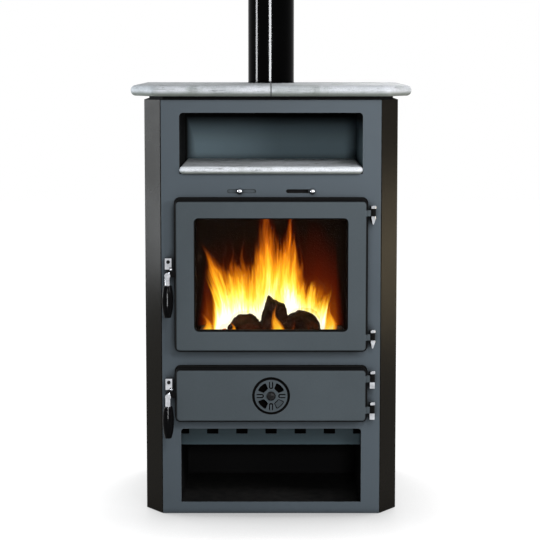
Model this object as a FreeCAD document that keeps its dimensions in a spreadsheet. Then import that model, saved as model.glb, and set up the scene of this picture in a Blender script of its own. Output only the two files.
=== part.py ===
import FreeCAD, Part
import math
import os
import re
import Sketcher

doc = FreeCAD.newDocument("BoilerStove")
sizes = doc.addObject("Spreadsheet::Sheet", "Sizes")

# Sizes that can be set alone, in millimetres: name, value, what it is.
plain = [
    ("case_width", 616, "across the two side panels"),
    ("front_width", 534, "flat front panel, side to side"),
    ("case_depth", 500, "front panel to rear panel"),
    ("chamfer_depth", 57, "front to back size of the slanted case corner"),
    ("front_sheet", 3, "front panel thickness"),
    ("side_sheet", 2, "side panel thickness"),
    ("rear_sheet", 2, "rear panel thickness"),
    ("panel_reveal", 2.5, "front panel edge to the side panel fold"),
    ("side_flange", 16, "folded edge of a side panel, behind front and rear panel"),
    ("base_sheet", 3, "base tray thickness"),
    ("base_lip", 25, "base tray wall height"),
    ("top_sheet", 3, "steel top plate thickness"),
    ("fit_gap", 0.3, "general gap between parts that do not touch"),
    ("store_bottom", 28, "floor to the wood store opening"),
    ("store_height", 182.5, "wood store opening height"),
    ("store_width", 439, "wood store opening width"),
    ("store_corner", 7, "wood store opening upper corner radius"),
    ("rail_low", 17.5, "panel between wood store and ash door opening"),
    ("ash_cut_height", 140, "ash door opening in the panel, height"),
    ("rail_mid", 32, "panel between the two door openings"),
    ("fire_cut_height", 377, "fire door opening in the panel, height"),
    ("door_cut_width", 468, "door openings in the panel, width"),
    ("door_cut_corner", 14, "door opening corner radius"),
    ("slot_rise", 14, "fire door opening to the middle of the air slots"),
    ("slot_length", 70, "air slot length"),
    ("slot_height", 9.6, "air slot height"),
    ("slot_centre", 71, "stove middle to the middle of an air slot"),
    ("niche_rise", 42, "air slots to the niche opening"),
    ("niche_width", 441, "niche opening width"),
    ("niche_height", 146.5, "niche opening height"),
    ("niche_corner", 9, "niche opening upper corner radius"),
    ("rail_top", 30.5, "panel above the niche"),
    ("niche_sheet", 2, "niche box thickness"),
    ("niche_margin", 0.5, "niche box stands outside the opening by this"),
    ("niche_gap", 7, "niche box to the flue box"),
    ("shelf_thick", 18, "stone shelf thickness"),
    ("shelf_proud", 14, "stone shelf in front of the panel"),
    ("shelf_corner", 14, "stone shelf front corner radius"),
    ("shelf_edge", 8.5, "stone shelf front edge radius"),
    ("frame_height", 9, "recessed frame under the stone top"),
    ("frame_inset", 12, "recessed frame behind the case outline"),
    ("frame_width", 30, "recessed frame bar width"),
    ("slab_thick", 26, "stone top thickness"),
    ("slab_over", 32, "stone top overhang at front and sides"),
    ("slab_rear_over", 10, "stone top overhang at the rear"),
    ("slab_edge", 12.5, "stone top edge radius"),
    ("slab_corner", 14, "stone top corner radius"),
    ("slab_seam", 0.6, "joint between the two stone slabs"),
    ("slab_hole_gap", 3, "flue pipe to the hole in the stone"),
    ("door_frame_thick", 8, "door frame behind the front panel"),
    ("door_frame_lap", 14, "door frame below the ash door opening"),
    ("door_frame_side", 0.5, "door frame to the side panel flange"),
    ("fire_mouth_inset", 30, "firebox mouth inside the fire door opening"),
    ("ash_mouth_inset", 19, "ash mouth inside the ash door opening"),
    ("door_gap_side", 2.5, "door to panel opening, sides"),
    ("door_gap_top", 6, "door to panel opening, top"),
    ("door_gap_bottom", 4, "door to panel opening, bottom"),
    ("door_back_gap", 1, "door back to the door frame"),
    ("door_corner", 11, "door corner radius"),
    ("door_depth", 30, "door casting depth"),
    ("door_wall", 8, "door front wall"),
    ("door_rim", 14, "door rim wall"),
    ("door_edge", 7, "door front edge radius"),
    ("groove_width", 8, "seal groove width"),
    ("groove_depth", 6, "seal groove depth"),
    ("groove_inset", 3, "seal groove inside the door edge"),
    ("window_side", 48.5, "door edge to window, sides"),
    ("window_low", 52, "door edge to window, bottom"),
    ("window_high", 45, "door edge to window, top"),
    ("window_corner", 9, "window corner radius"),
    ("window_bevel", 2.5, "bevel round the window"),
    ("glass_thick", 4, "glass thickness"),
    ("glass_lap", 12, "glass behind the door frame on each side"),
    ("gasket_thick", 1, "tape between glass and door"),
    ("gasket_width", 9, "tape width"),
    ("clip_width", 24, "glass clip width"),
    ("clip_thick", 2, "glass clip thickness"),
    ("clip_lap", 7, "glass clip over the glass"),
    ("clip_spread", 110, "door middle to a glass clip"),
    ("clip_boss", 5.5, "screw boss radius"),
    ("clip_gap", 1, "glass edge to the screw boss"),
    ("screw_radius", 2, "small screw shank radius"),
    ("screw_head", 4, "small screw head radius"),
    ("screw_head_high", 2.5, "small screw head height"),
    ("screw_tail", 3, "rear panel screw end inside the side panel"),
    ("hinge_side", 11, "panel opening edge to the hinge axis"),
    ("hinge_out", 16, "panel front to the hinge axis"),
    ("run_gap", 0.1, "running gap of pins, spindles and the air wheel bolt"),
    ("pin_radius", 4, "hinge pin radius"),
    ("pin_head", 7.5, "hinge pin head radius"),
    ("pin_head_high", 7, "hinge pin head height"),
    ("pin_bevel", 1.5, "hinge pin head bevel"),
    ("pin_depth", 12, "hinge pin in its bracket"),
    ("barrel_radius", 6.5, "door lug barrel radius"),
    ("lug_arm", 11, "door lug arm thickness"),
    ("lug_arm_share", 0.8, "door lug arm height as a share of its barrel"),
    ("fire_barrel", 18, "fire door lug height"),
    ("fire_lug_low", 31.5, "fire door opening bottom to the lower lug"),
    ("fire_lug_high", 44.5, "fire door opening top to the upper lug"),
    ("ash_barrel", 20, "ash door lug height"),
    ("ash_lug_low", 24.5, "ash door opening bottom to the lower lug"),
    ("ash_lug_high", 39, "ash door opening top to the upper lug"),
    ("cone_height", 20, "pointed hinge bracket height"),
    ("cone_tip", 2, "pointed hinge bracket tip radius"),
    ("cone_radius", 7, "pointed hinge bracket radius"),
    ("cone_straight", 6, "pointed hinge bracket straight part"),
    ("cone_foot_half", 4.9, "pointed hinge bracket foot half width"),
    ("cone_foot_low", 12, "pointed hinge bracket top to the foot's lower edge"),
    ("cone_foot_high", 1, "pointed hinge bracket top to the foot's upper edge"),
    ("block_height", 15, "square hinge bracket height"),
    ("block_half", 6, "square hinge bracket half width"),
    ("latch_side", 14, "panel opening edge to the latch axis"),
    ("latch_lug_radius", 8, "latch lug radius"),
    ("latch_lug_thick", 9, "latch lug thickness"),
    ("latch_arm_half", 6.4, "latch lug arm half height"),
    ("latch_lug_out", 15, "panel front to the latch lug"),
    ("fire_latch_rise", 192, "fire door opening bottom to its latch axis"),
    ("ash_latch_rise", 70, "ash door opening bottom to its latch axis"),
    ("spindle_radius", 4, "latch spindle radius"),
    ("spindle_front", 16, "latch spindle in the lever"),
    ("cam_out", 4.3, "panel front to the latch cam"),
    ("cam_thick", 6, "latch cam thickness"),
    ("cam_hub", 7, "latch cam hub radius"),
    ("cam_reach", 15, "latch cam reach from its axis"),
    ("cam_half", 2.5, "latch cam half width"),
    ("cam_tilt", 30, "latch cam angle from upright, degrees"),
    ("keeper_width", 16, "keeper plate width"),
    ("keeper_height", 27, "keeper plate height"),
    ("keeper_rise", 11, "latch axis to the keeper plate"),
    ("keeper_tab", 5, "keeper hook height"),
    ("keeper_notch", 5.5, "keeper corner cut width"),
    ("keeper_out", 11, "panel front to the keeper plate"),
    ("keeper_thick", 3, "keeper plate thickness"),
    ("keeper_screw", 2.6, "keeper screw radius"),
    ("keeper_screw_head", 4.2, "keeper screw head radius"),
    ("keeper_screw_rise", 13.2, "keeper hook to its screw"),
    ("lever_boss", 7, "lever boss radius"),
    ("lever_boss_long", 26, "lever boss length"),
    ("stem_long", 24, "lever stem length under its axis"),
    ("stem_top", 6.5, "lever stem upper radius"),
    ("stem_low", 6.8, "lever stem lower radius"),
    ("tang_radius", 4, "lever tang radius in the grip"),
    ("tang_long", 28, "lever tang length"),
    ("grip_long", 77, "grip length"),
    ("grip_top", 10, "grip upper end radius"),
    ("grip_low", 8, "grip lower end radius"),
    ("grip_curve", 155, "grip side curve radius"),
    ("grip_out", 44, "panel front to the grip axis"),
    ("spin_radius", 39.5, "air wheel radius"),
    ("spin_thick", 5, "air wheel thickness"),
    ("spin_recess", 3, "air wheel recess depth in the door"),
    ("spin_ring", 6.5, "recess edge outside the air wheel"),
    ("ring_deep", 3.5, "groove round the air wheel under its recess"),
    ("vent_outer", 34.5, "air vent outer radius"),
    ("vent_inner", 19, "air vent inner radius"),
    ("vent_angle", 46, "air vent width, degrees"),
    ("vent_corner", 3.2, "air vent corner radius"),
    ("dip_long", 19, "air wheel dip length"),
    ("dip_wide", 10.5, "air wheel dip width"),
    ("dip_corner", 4.4, "air wheel dip corner radius"),
    ("dip_deep", 3, "air wheel dip depth"),
    ("dip_start", 17.2, "air wheel middle to a dip"),
    ("bar_wide", 4.4, "bar in a dip, width"),
    ("bar_start", 21, "air wheel middle to a bar"),
    ("bar_high", 0.8, "bar in front of the air wheel"),
    ("pad_gap", 2, "closed vent pad to its edge"),
    ("pad_turn", 5, "closed vent pad to its sides, degrees"),
    ("pad_high", 2.2, "closed vent pad height in its dip"),
    ("bolt_radius", 4, "air wheel bolt radius"),
    ("bolt_head", 11, "air wheel bolt head radius"),
    ("bolt_head_high", 6, "air wheel bolt head dome height"),
    ("bolt_rim", 1, "air wheel bolt head straight rim"),
    ("bolt_tail", 2, "air wheel bolt end behind its nut"),
    ("nut_radius", 8, "air wheel nut corner radius"),
    ("nut_thick", 6, "air wheel nut thickness"),
    ("slide_thick", 2, "air slide thickness"),
    ("slide_high", 18, "air slide height"),
    ("slide_half", 38, "air slide reach on each side of its knob"),
    ("slide_short", 10, "right air slide reach on the near side of its knob"),
    ("left_knob_shift", -4, "left knob from the middle of its slot"),
    ("right_knob_shift", 29, "right knob from the middle of its slot"),
    ("knob_stem", 3, "air knob stem radius"),
    ("knob_radius", 7.2, "air knob radius"),
    ("knob_high", 6.8, "air knob dome height"),
    ("knob_rim", 1, "air knob straight rim"),
    ("knob_gap", 1.5, "air knob to the panel front"),
    ("box_high", 23, "air slide box height"),
    ("box_run", 9, "right air slide to the end wall of the box"),
    ("box_end", 5, "air slide box end wall"),
    ("plenum_high", 10, "air slide box channel height"),
    ("plenum_deep", 3, "air slide box channel depth"),
    ("floor_drop", 5, "firebox floor under the fire door opening"),
    ("floor_plate", 6, "firebox floor plate thickness"),
    ("firebox_half", 222, "firebox half width"),
    ("rear_room", 58, "water jacket to the rear panel"),
    ("jacket_side", 33, "water jacket at the sides"),
    ("jacket_rear", 40, "water jacket at the rear"),
    ("jacket_wall", 4, "water jacket plate thickness"),
    ("roof_rise", 13, "fire door opening top to the firebox roof"),
    ("roof_plate", 6, "firebox roof plate thickness"),
    ("brick_thick", 25, "firebrick thickness"),
    ("brick_height", 340, "firebrick height"),
    ("brick_setback", 14, "door frame to the side firebricks"),
    ("baffle_thick", 6, "baffle plate thickness"),
    ("baffle_setback", 149, "door frame to the baffle plate"),
    ("guard_high", 55, "log guard height"),
    ("guard_thick", 6, "log guard thickness"),
    ("guard_setback", 17, "door frame to the log guard"),
    ("grate_width", 300, "grate width"),
    ("grate_rear_gap", 24, "grate to the rear firebrick"),
    ("grate_thick", 10, "grate thickness"),
    ("grate_seat", 15, "grate rest on the floor plate"),
    ("grate_setback", 90, "door frame to the grate"),
    ("grate_slot", 10, "grate slot width"),
    ("grate_pitch", 24, "grate slot spacing"),
    ("grate_count", 11, "grate slots"),
    ("ash_floor_rise", 14, "ash door opening bottom to the ash box"),
    ("ash_sheet", 4, "ash box plate thickness"),
    ("pan_half", 188, "ash pan half width"),
    ("pan_rear_gap", 30, "ash pan to the rear of the ash box"),
    ("pan_high", 70, "ash pan height"),
    ("pan_sheet", 1.5, "ash pan thickness"),
    ("pan_setback", 22, "panel back to the ash pan"),
    ("bail_rise", 42, "ash pan floor to its handle"),
    ("bail_half", 45, "ash pan handle half width"),
    ("bail_radius", 3.5, "ash pan handle bar radius"),
    ("bail_out", 14, "ash pan handle reach"),
    ("store_sheet", 3, "wood store wall thickness"),
    ("shield_setback", 47, "panel back to the slotted shield"),
    ("shield_sheet", 2, "slotted shield thickness"),
    ("shield_drop", 82, "slotted shield height"),
    ("shield_slot_wide", 28, "shield slot width"),
    ("shield_slot_high", 24, "shield slot height"),
    ("shield_slot_rise", 27, "shield lower edge to its slots"),
    ("shield_pitch", 72, "shield slot spacing"),
    ("shield_count", 7, "shield slots"),
    ("flue_radius", 60, "flue pipe outer radius"),
    ("flue_wall", 2, "flue pipe wall"),
    ("flue_long", 405, "flue pipe length"),
    ("flue_shift", 10, "firebox rear wall to the flue axis"),
    ("flue_box_half", 100, "flue box half width"),
    ("flue_box_long", 150, "flue box front to back"),
    ("flue_sheet", 3, "flue box plate thickness"),
    ("flue_port_half", 88, "port from firebox to flue box, half width"),
    ("flue_port_edge", 5, "port edge inside the flue box and firebox"),
    ("collar_wall", 2.7, "flue collar wall"),
    ("collar_deep", 43, "flue collar under the top plate face"),
    ("collar_ledge", 3, "ledge in the flue collar under the pipe"),
    ("collar_ledge_wide", 4.3, "ledge width inside the collar"),
    ("collar_flange", 70, "flue collar flange radius"),
    ("collar_flange_thick", 3, "flue collar flange thickness"),
    ("socket_radius", 21, "flow and return socket radius"),
    ("socket_bore", 15.15, "flow and return socket bore radius"),
    ("socket_out", 12, "sockets behind the rear panel"),
    ("socket_side", 150, "stove middle to the sockets"),
    ("socket_low_rise", 45, "firebox floor to the lower sockets"),
    ("socket_high_drop", 45, "firebox roof to the upper sockets"),
    ("small_radius", 13.5, "small socket radius"),
    ("small_bore", 9.3, "small socket bore radius"),
    ("socket_hole_gap", 1.5, "sockets to the rear panel holes"),
    ("jacket_port", 0.6, "jacket port radius as a share of the socket bore"),
    ("louvre_long", 150, "rear air slot length"),
    ("louvre_high", 6, "rear air slot height"),
    ("louvre_pitch", 16, "rear air slot spacing"),
    ("louvre_side", 130, "stove middle to the rear air slots"),
    ("louvre_rise", 70, "floor to the lowest rear air slot"),
    ("louvre_count", 6, "rear air slots in a row"),
    ("panel_screw_inset", 40, "rear panel corner to its screws"),
]

# Sizes that follow from the ones above.
derived = [
    ("case_half", "case_width / 2"),
    ("front_half", "front_width / 2"),
    ("chamfer_run", "case_half - front_half"),
    ("chamfer_long", "sqrt(chamfer_run^2 + chamfer_depth^2)"),
    ("front_miter", "chamfer_depth / (chamfer_long + chamfer_run)"),
    ("side_miter", "chamfer_run / (chamfer_long + chamfer_depth)"),
    ("front_y", "-case_depth / 2"),
    ("panel_back", "front_y + front_sheet"),
    ("chamfer_end", "panel_back + chamfer_depth"),
    ("rear_y", "case_depth / 2"),
    ("rear_in", "rear_y - rear_sheet"),
    ("store_top", "store_bottom + store_height"),
    ("ash_cut_bottom", "store_top + rail_low"),
    ("ash_cut_top", "ash_cut_bottom + ash_cut_height"),
    ("fire_cut_bottom", "ash_cut_top + rail_mid"),
    ("fire_cut_top", "fire_cut_bottom + fire_cut_height"),
    ("slot_level", "fire_cut_top + slot_rise"),
    ("niche_bottom", "slot_level + niche_rise"),
    ("niche_top", "niche_bottom + niche_height"),
    ("case_height", "niche_top + rail_top"),
    ("slab_bottom", "case_height + frame_height"),
    ("slab_top", "slab_bottom + slab_thick"),
    ("door_cut_half", "door_cut_width / 2"),
    ("niche_half", "niche_width / 2"),
    ("store_half", "store_width / 2"),
    ("frame_back", "panel_back + door_frame_thick"),
    ("frame_top", "slot_level - box_high / 2"),
    ("frame_half", "front_half - side_flange - door_frame_side"),
    ("door_half", "door_cut_half - door_gap_side"),
    ("door_back", "panel_back - door_back_gap"),
    ("door_front", "door_back - door_depth"),
    ("door_inner", "door_front + door_wall"),
    ("fire_low", "fire_cut_bottom + door_gap_bottom"),
    ("fire_high", "fire_cut_top - door_gap_top"),
    ("ash_low", "ash_cut_bottom + door_gap_bottom"),
    ("ash_high", "ash_cut_top - door_gap_top"),
    ("window_half", "door_half - window_side"),
    ("window_bottom", "fire_low + window_low"),
    ("window_top", "fire_high - window_high"),
    ("glass_front", "door_inner + gasket_thick"),
    ("glass_back", "glass_front + glass_thick"),
    ("clip_low", "window_bottom - glass_lap - clip_gap - clip_boss"),
    ("clip_high", "window_top + glass_lap + clip_gap + clip_boss"),
    ("seal_thick", "groove_depth + door_back_gap - fit_gap"),
    ("hinge_x", "door_cut_half + hinge_side"),
    ("hinge_y", "front_y - hinge_out"),
    ("latch_x", "-door_cut_half - latch_side"),
    ("lug_back", "front_y - latch_lug_out"),
    ("lug_front", "lug_back - latch_lug_thick"),
    ("fire_latch", "fire_cut_bottom + fire_latch_rise"),
    ("ash_latch", "ash_cut_bottom + ash_latch_rise"),
    ("grip_y", "front_y - grip_out"),
    ("spin_level", "(ash_low + ash_high) / 2"),
    ("spin_seat", "door_front + spin_recess"),
    ("spin_back", "spin_seat - fit_gap"),
    ("spin_front", "spin_back - spin_thick"),
    ("left_knob", "-slot_centre + left_knob_shift"),
    ("right_knob", "slot_centre + right_knob_shift"),
    ("slide_front", "panel_back + fit_gap"),
    ("slide_back", "slide_front + slide_thick"),
    ("box_half", "right_knob + slide_half + box_run + box_end"),
    ("firebox_floor", "fire_cut_bottom - floor_drop"),
    ("firebox_roof", "fire_cut_top + roof_rise"),
    ("jacket_half", "firebox_half + jacket_side"),
    ("jacket_back", "rear_in - rear_room"),
    ("firebox_rear", "jacket_back - jacket_rear"),
    ("brick_top", "firebox_floor + brick_height"),
    ("brick_in", "firebox_half - brick_thick"),
    ("ash_floor", "ash_cut_bottom + ash_floor_rise"),
    ("ash_roof", "firebox_floor - floor_plate"),
    ("ash_half", "firebox_half + ash_sheet"),
    ("ash_back", "firebox_rear + ash_sheet"),
    ("shield_y", "panel_back + shield_setback"),
    ("flue_y", "firebox_rear + flue_shift"),
    ("flue_box_front", "flue_y - flue_box_long / 2"),
    ("flue_box_back", "flue_y + flue_box_long / 2"),
    ("flue_floor", "firebox_roof + roof_plate"),
    ("flue_top", "case_height - top_sheet"),
    ("collar_in", "flue_radius + fit_gap"),
    ("collar_out", "collar_in + collar_wall"),
    ("pipe_bottom", "case_height - collar_deep + collar_ledge"),
    ("niche_back", "flue_box_front - niche_gap"),
    ("socket_end", "rear_y + socket_out"),
    ("socket_low", "firebox_floor + socket_low_rise"),
    ("socket_high", "firebox_roof - socket_high_drop"),
]

known = set()
row = 0
for name, value, note in plain:
    row += 1
    sizes.set("A%d" % row, name)
    sizes.set("B%d" % row, str(value))
    sizes.set("C%d" % row, note)
    sizes.setAlias("B%d" % row, name)
    known.add(name)
for name, text in derived:
    row += 1
    sizes.set("A%d" % row, name)
    sizes.set("B%d" % row, "=" + text)
    sizes.setAlias("B%d" % row, name)
    known.add(name)
doc.recompute()


def linked(text):
    # the same text with every size name pointing into the sheet
    return re.sub(r"[a-z_]+", lambda m: "Sizes." + m[0] if m[0] in known else m[0], text)


def num(text):
    return float(sizes.evalExpression(text))


def bind(obj, prop, text):
    obj.setExpression(prop, linked(text))


def place(obj, x, y, z, turn=None):
    if turn is not None:
        obj.Placement = FreeCAD.Placement(FreeCAD.Vector(0, 0, 0), turn)
    bind(obj, ".Placement.Base.x", x)
    bind(obj, ".Placement.Base.y", y)
    bind(obj, ".Placement.Base.z", z)
    return obj


def around(axis, angle):
    return FreeCAD.Rotation(FreeCAD.Vector(*axis), angle)


to_viewer = around((1, 0, 0), 90)    # own Z turns to -Y
to_rear = around((1, 0, 0), -90)     # own Z turns to +Y
to_right = around((0, 1, 0), 90)     # own Z turns to +X


def block(name, x, y, z):
    # box between two limits on each axis
    obj = doc.addObject("Part::Box", name)
    bind(obj, "Length", "(%s) - (%s)" % (x[1], x[0]))
    bind(obj, "Width", "(%s) - (%s)" % (y[1], y[0]))
    bind(obj, "Height", "(%s) - (%s)" % (z[1], z[0]))
    return place(obj, x[0], y[0], z[0])


def rod(name, axis, radius, low, high, one, two):
    # cylinder along an axis, centred at the other two coordinates in their order
    obj = doc.addObject("Part::Cylinder", name)
    bind(obj, "Radius", radius)
    bind(obj, "Height", "(%s) - (%s)" % (high, low))
    if axis == "z":
        return place(obj, one, two, low)
    if axis == "y":
        return place(obj, one, low, two, to_rear)
    return place(obj, low, one, two, to_right)


def cut(name, base, *tools):
    tool = tools[0]
    if len(tools) > 1:
        tool = fuse(name + "_tools", *tools)
    obj = doc.addObject("Part::Cut", name)
    obj.Base = base
    obj.Tool = tool
    return obj


def fuse(name, *pieces):
    obj = doc.addObject("Part::MultiFuse", name)
    obj.Shapes = list(pieces)
    return obj


def group(name, *pieces):
    obj = doc.addObject("Part::Compound", name)
    obj.Links = list(pieces)
    return obj


def mirrored(name, source):
    obj = doc.addObject("Part::Mirroring", name)
    obj.Source = source
    obj.Base = FreeCAD.Vector(0, 0, 0)
    obj.Normal = FreeCAD.Vector(1, 0, 0)
    return obj


def new_body(name):
    return doc.addObject("PartDesign::Body", name)


def sketch_on(body, role, level):
    # sketch at a level on X, Y or Z; XZ sketches face the viewer at -Y
    plane = [f for f in body.Origin.OriginFeatures if f.Role == role][0]
    sk = body.newObject("Sketcher::SketchObject", body.Name + "_sketch")
    sk.AttachmentSupport = [(plane, "")]
    sk.MapMode = "FlatFace"
    sign = "-" if role == "XZ_Plane" else ""
    bind(sk, ".AttachmentOffset.Base.z", "%s(%s)" % (sign, level))
    return sk


def pin_value(sk, kind, geo, pos, text):
    if text == "0":
        axis = -2 if kind == "DistanceX" else -1
        sk.addConstraint(Sketcher.Constraint("PointOnObject", geo, pos, axis))
        return
    index = sk.addConstraint(Sketcher.Constraint(kind, -1, 1, geo, pos, num(text)))
    bind(sk, "Constraints[%d]" % index, text)


def pin_point(sk, geo, pos, point):
    pin_value(sk, "DistanceX", geo, pos, point[0])
    pin_value(sk, "DistanceY", geo, pos, point[1])


def loop(sk, points):
    # closed outline run anticlockwise; a third item makes the next side an outward arc of that radius
    first = sk.GeometryCount
    count = len(points)
    spots = [FreeCAD.Vector(num(p[0]), num(p[1]), 0) for p in points]
    for i in range(count):
        a = spots[i]
        b = spots[(i + 1) % count]
        if len(points[i]) == 2:
            sk.addGeometry(Part.LineSegment(a, b), False)
            continue
        radius = num(points[i][2])
        along = b - a
        left = FreeCAD.Vector(-along.y, along.x, 0).normalize()
        centre = (a + b) * 0.5 + left * max(radius ** 2 - along.Length ** 2 / 4, 0) ** 0.5
        start = FreeCAD.Vector(1, 0, 0).getAngle(a - centre) * (1 if a.y >= centre.y else -1)
        end = FreeCAD.Vector(1, 0, 0).getAngle(b - centre) * (1 if b.y >= centre.y else -1)
        ring = Part.Circle(centre, FreeCAD.Vector(0, 0, 1), radius)
        sk.addGeometry(Part.ArcOfCircle(ring, start, end), False)
    for i in range(count):
        sk.addConstraint(Sketcher.Constraint("Coincident", first + i, 2, first + (i + 1) % count, 1))
    for i in range(count):
        pin_point(sk, first + i, 1, points[i])
        if len(points[i]) == 3:
            index = sk.addConstraint(Sketcher.Constraint("Radius", first + i, num(points[i][2])))
            bind(sk, "Constraints[%d]" % index, points[i][2])


def rounded(sk, x, y, radius, upper_only=False):
    # rectangle with arcs at all corners, or only at the two upper ones
    low = [x[0], y[0]]
    high = [x[1], y[1]]
    r = "(%s)" % radius
    points = []
    if upper_only:
        points.append((low[0], low[1]))
        points.append((high[0], low[1]))
    else:
        points.append(("%s + %s" % (low[0], r), low[1]))
        points.append(("%s - %s" % (high[0], r), low[1], radius))
        points.append((high[0], "%s + %s" % (low[1], r)))
    points.append((high[0], "%s - %s" % (high[1], r), radius))
    points.append(("%s - %s" % (high[0], r), high[1]))
    points.append(("%s + %s" % (low[0], r), high[1], radius))
    points.append((low[0], "%s - %s" % (high[1], r)))
    if not upper_only:
        points.append((low[0], "%s + %s" % (low[1], r), radius))
    loop(sk, points)


def rectangle(sk, x, y):
    loop(sk, [(x[0], y[0]), (x[1], y[0]), (x[1], y[1]), (x[0], y[1])])


def circle(sk, x, y, radius):
    ring = Part.Circle(FreeCAD.Vector(num(x), num(y), 0), FreeCAD.Vector(0, 0, 1), num(radius))
    geo = sk.addGeometry(ring, False)
    pin_point(sk, geo, 3, (x, y))
    index = sk.addConstraint(Sketcher.Constraint("Radius", geo, num(radius)))
    bind(sk, "Constraints[%d]" % index, radius)


def slot(sk, x, level, high):
    # long hole with half-round ends, between two X limits
    r = num(high) / 2
    a = num(x[0]) + r
    b = num(x[1]) - r
    z = num(level)
    up = FreeCAD.Vector(0, 0, 1)
    half = "(%s) / 2" % high
    first = sk.GeometryCount
    left_end = Part.Circle(FreeCAD.Vector(a, z, 0), up, r)
    right_end = Part.Circle(FreeCAD.Vector(b, z, 0), up, r)
    sk.addGeometry(Part.LineSegment(FreeCAD.Vector(a, z - r, 0), FreeCAD.Vector(b, z - r, 0)), False)
    sk.addGeometry(Part.ArcOfCircle(right_end, -math.pi / 2, math.pi / 2), False)
    sk.addGeometry(Part.LineSegment(FreeCAD.Vector(b, z + r, 0), FreeCAD.Vector(a, z + r, 0)), False)
    sk.addGeometry(Part.ArcOfCircle(left_end, math.pi / 2, math.pi * 1.5), False)
    for i in range(4):
        sk.addConstraint(Sketcher.Constraint("Coincident", first + i, 2, first + (i + 1) % 4, 1))
    left = "%s + %s" % (x[0], half)
    right = "%s - %s" % (x[1], half)
    pin_point(sk, first, 1, (left, "%s - %s" % (level, half)))
    pin_point(sk, first, 2, (right, "%s - %s" % (level, half)))
    pin_point(sk, first + 2, 1, (right, "%s + %s" % (level, half)))
    pin_point(sk, first + 2, 2, (left, "%s + %s" % (level, half)))
    pin_value(sk, "DistanceX", first + 1, 3, right)
    pin_value(sk, "DistanceX", first + 3, 3, left)


def pad(body, sk, length):
    feature = body.newObject("PartDesign::Pad", body.Name + "_pad")
    feature.Profile = sk
    bind(feature, "Length", length)
    return feature


def pocket(body, sk, length, forward=False):
    # goes away from the side that the sketch faces, or towards it with forward set
    feature = body.newObject("PartDesign::Pocket", body.Name + "_pocket")
    feature.Profile = sk
    feature.Reversed = forward
    bind(feature, "Length", length)
    return feature


def edge_names(feature, wanted):
    doc.recompute()
    edges = feature.Shape.Edges
    return ["Edge%d" % (i + 1) for i in range(len(edges)) if wanted(edges[i].BoundBox)]


def round_edges(body, feature, radius, wanted):
    result = body.newObject("PartDesign::Fillet", body.Name + "_round")
    result.Base = (feature, edge_names(feature, wanted))
    bind(result, "Radius", radius)
    return result


def bevel_edges(body, feature, size, wanted):
    result = body.newObject("PartDesign::Chamfer", body.Name + "_bevel")
    result.Base = (feature, edge_names(feature, wanted))
    bind(result, "Size", size)
    return result


def turned(name, profile, x, y, z, turn=None):
    # solid of revolution about its own Z from radius and height points
    body = new_body(name)
    sk = sketch_on(body, "XZ_Plane", "0")
    loop(sk, profile)
    feature = body.newObject("PartDesign::Revolution", name + "_turn")
    feature.Profile = sk
    feature.ReferenceAxis = (sk, ["V_Axis"])
    feature.Angle = 360
    return place(body, x, y, z, turn)


def outline(side, rear):
    # case outline in plan, moved out by side (in when negative), with its rear edge at rear
    front = "panel_back - (%s)" % side
    corner = "front_half + (%s) * front_miter" % side
    wide = "case_half + (%s)" % side
    bend = "chamfer_end - (%s) * side_miter" % side
    right = [(corner, front), (wide, bend), (wide, rear)]
    left = [("-(%s)" % p[0], p[1]) for p in reversed(right)]
    return right, left


def plate(name, side, rear, low, high):
    body = new_body(name)
    sk = sketch_on(body, "XY_Plane", low)
    right, left = outline(side, rear)
    loop(sk, right + left)
    pad(body, sk, "(%s) - (%s)" % (high, low))
    return body


nodes = {}


def keep(node, obj):
    obj.Label = node
    nodes[node] = obj


# Case: base tray, front panel, folded side panels, rear panel and top plate.
tray = plate("BaseTray", "-side_sheet", "rear_in - side_sheet", "0", "base_lip")
tray_sketch = sketch_on(tray, "XY_Plane", "base_lip")
tray_right, tray_left = outline("-side_sheet - base_sheet", "rear_in - side_sheet - base_sheet")
loop(tray_sketch, tray_right + tray_left)
pocket(tray, tray_sketch, "base_lip - base_sheet")
keep("base_pan", tray)

front = new_body("FrontSheet")
front_sketch = sketch_on(front, "XZ_Plane", "panel_back")
rectangle(front_sketch, ("-front_half + panel_reveal", "front_half - panel_reveal"), ("0", "case_height"))
rounded(front_sketch, ("-niche_half", "niche_half"), ("niche_bottom", "niche_top"), "niche_corner", True)
door_cut_x = ("-door_cut_half", "door_cut_half")
rounded(front_sketch, door_cut_x, ("fire_cut_bottom", "fire_cut_top"), "door_cut_corner")
rounded(front_sketch, door_cut_x, ("ash_cut_bottom", "ash_cut_top"), "door_cut_corner")
rounded(front_sketch, ("-store_half", "store_half"), ("store_bottom", "store_top"), "store_corner", True)
for middle in ("-slot_centre", "slot_centre"):
    slot_x = (middle + " - slot_length / 2", middle + " + slot_length / 2")
    slot(front_sketch, slot_x, "slot_level", "slot_height")
pad(front, front_sketch, "front_sheet")
keep("front_panel", front)

side = new_body("SideSheet")
side_sketch = sketch_on(side, "XY_Plane", "0")
loop(side_sketch, [
    ("front_half - side_flange", "panel_back"),
    ("front_half", "panel_back"),
    ("case_half", "chamfer_end"),
    ("case_half", "rear_in"),
    ("case_half - side_flange", "rear_in"),
    ("case_half - side_flange", "rear_in - side_sheet"),
    ("case_half - side_sheet", "rear_in - side_sheet"),
    ("case_half - side_sheet", "chamfer_end + side_sheet * side_miter"),
    ("front_half - side_sheet * front_miter", "panel_back + side_sheet"),
    ("front_half - side_flange", "panel_back + side_sheet"),
])
pad(side, side_sketch, "case_height")
side_hole_sketch = sketch_on(side, "XZ_Plane", "rear_in")
for level in ("panel_screw_inset", "case_height / 2", "case_height - panel_screw_inset"):
    circle(side_hole_sketch, "case_half - side_flange / 2", level, "screw_radius + fit_gap")
pocket(side, side_hole_sketch, "side_sheet", True)
keep("side_panel_right", side)
keep("side_panel_left", mirrored("SideSheetLeft", side))

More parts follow.
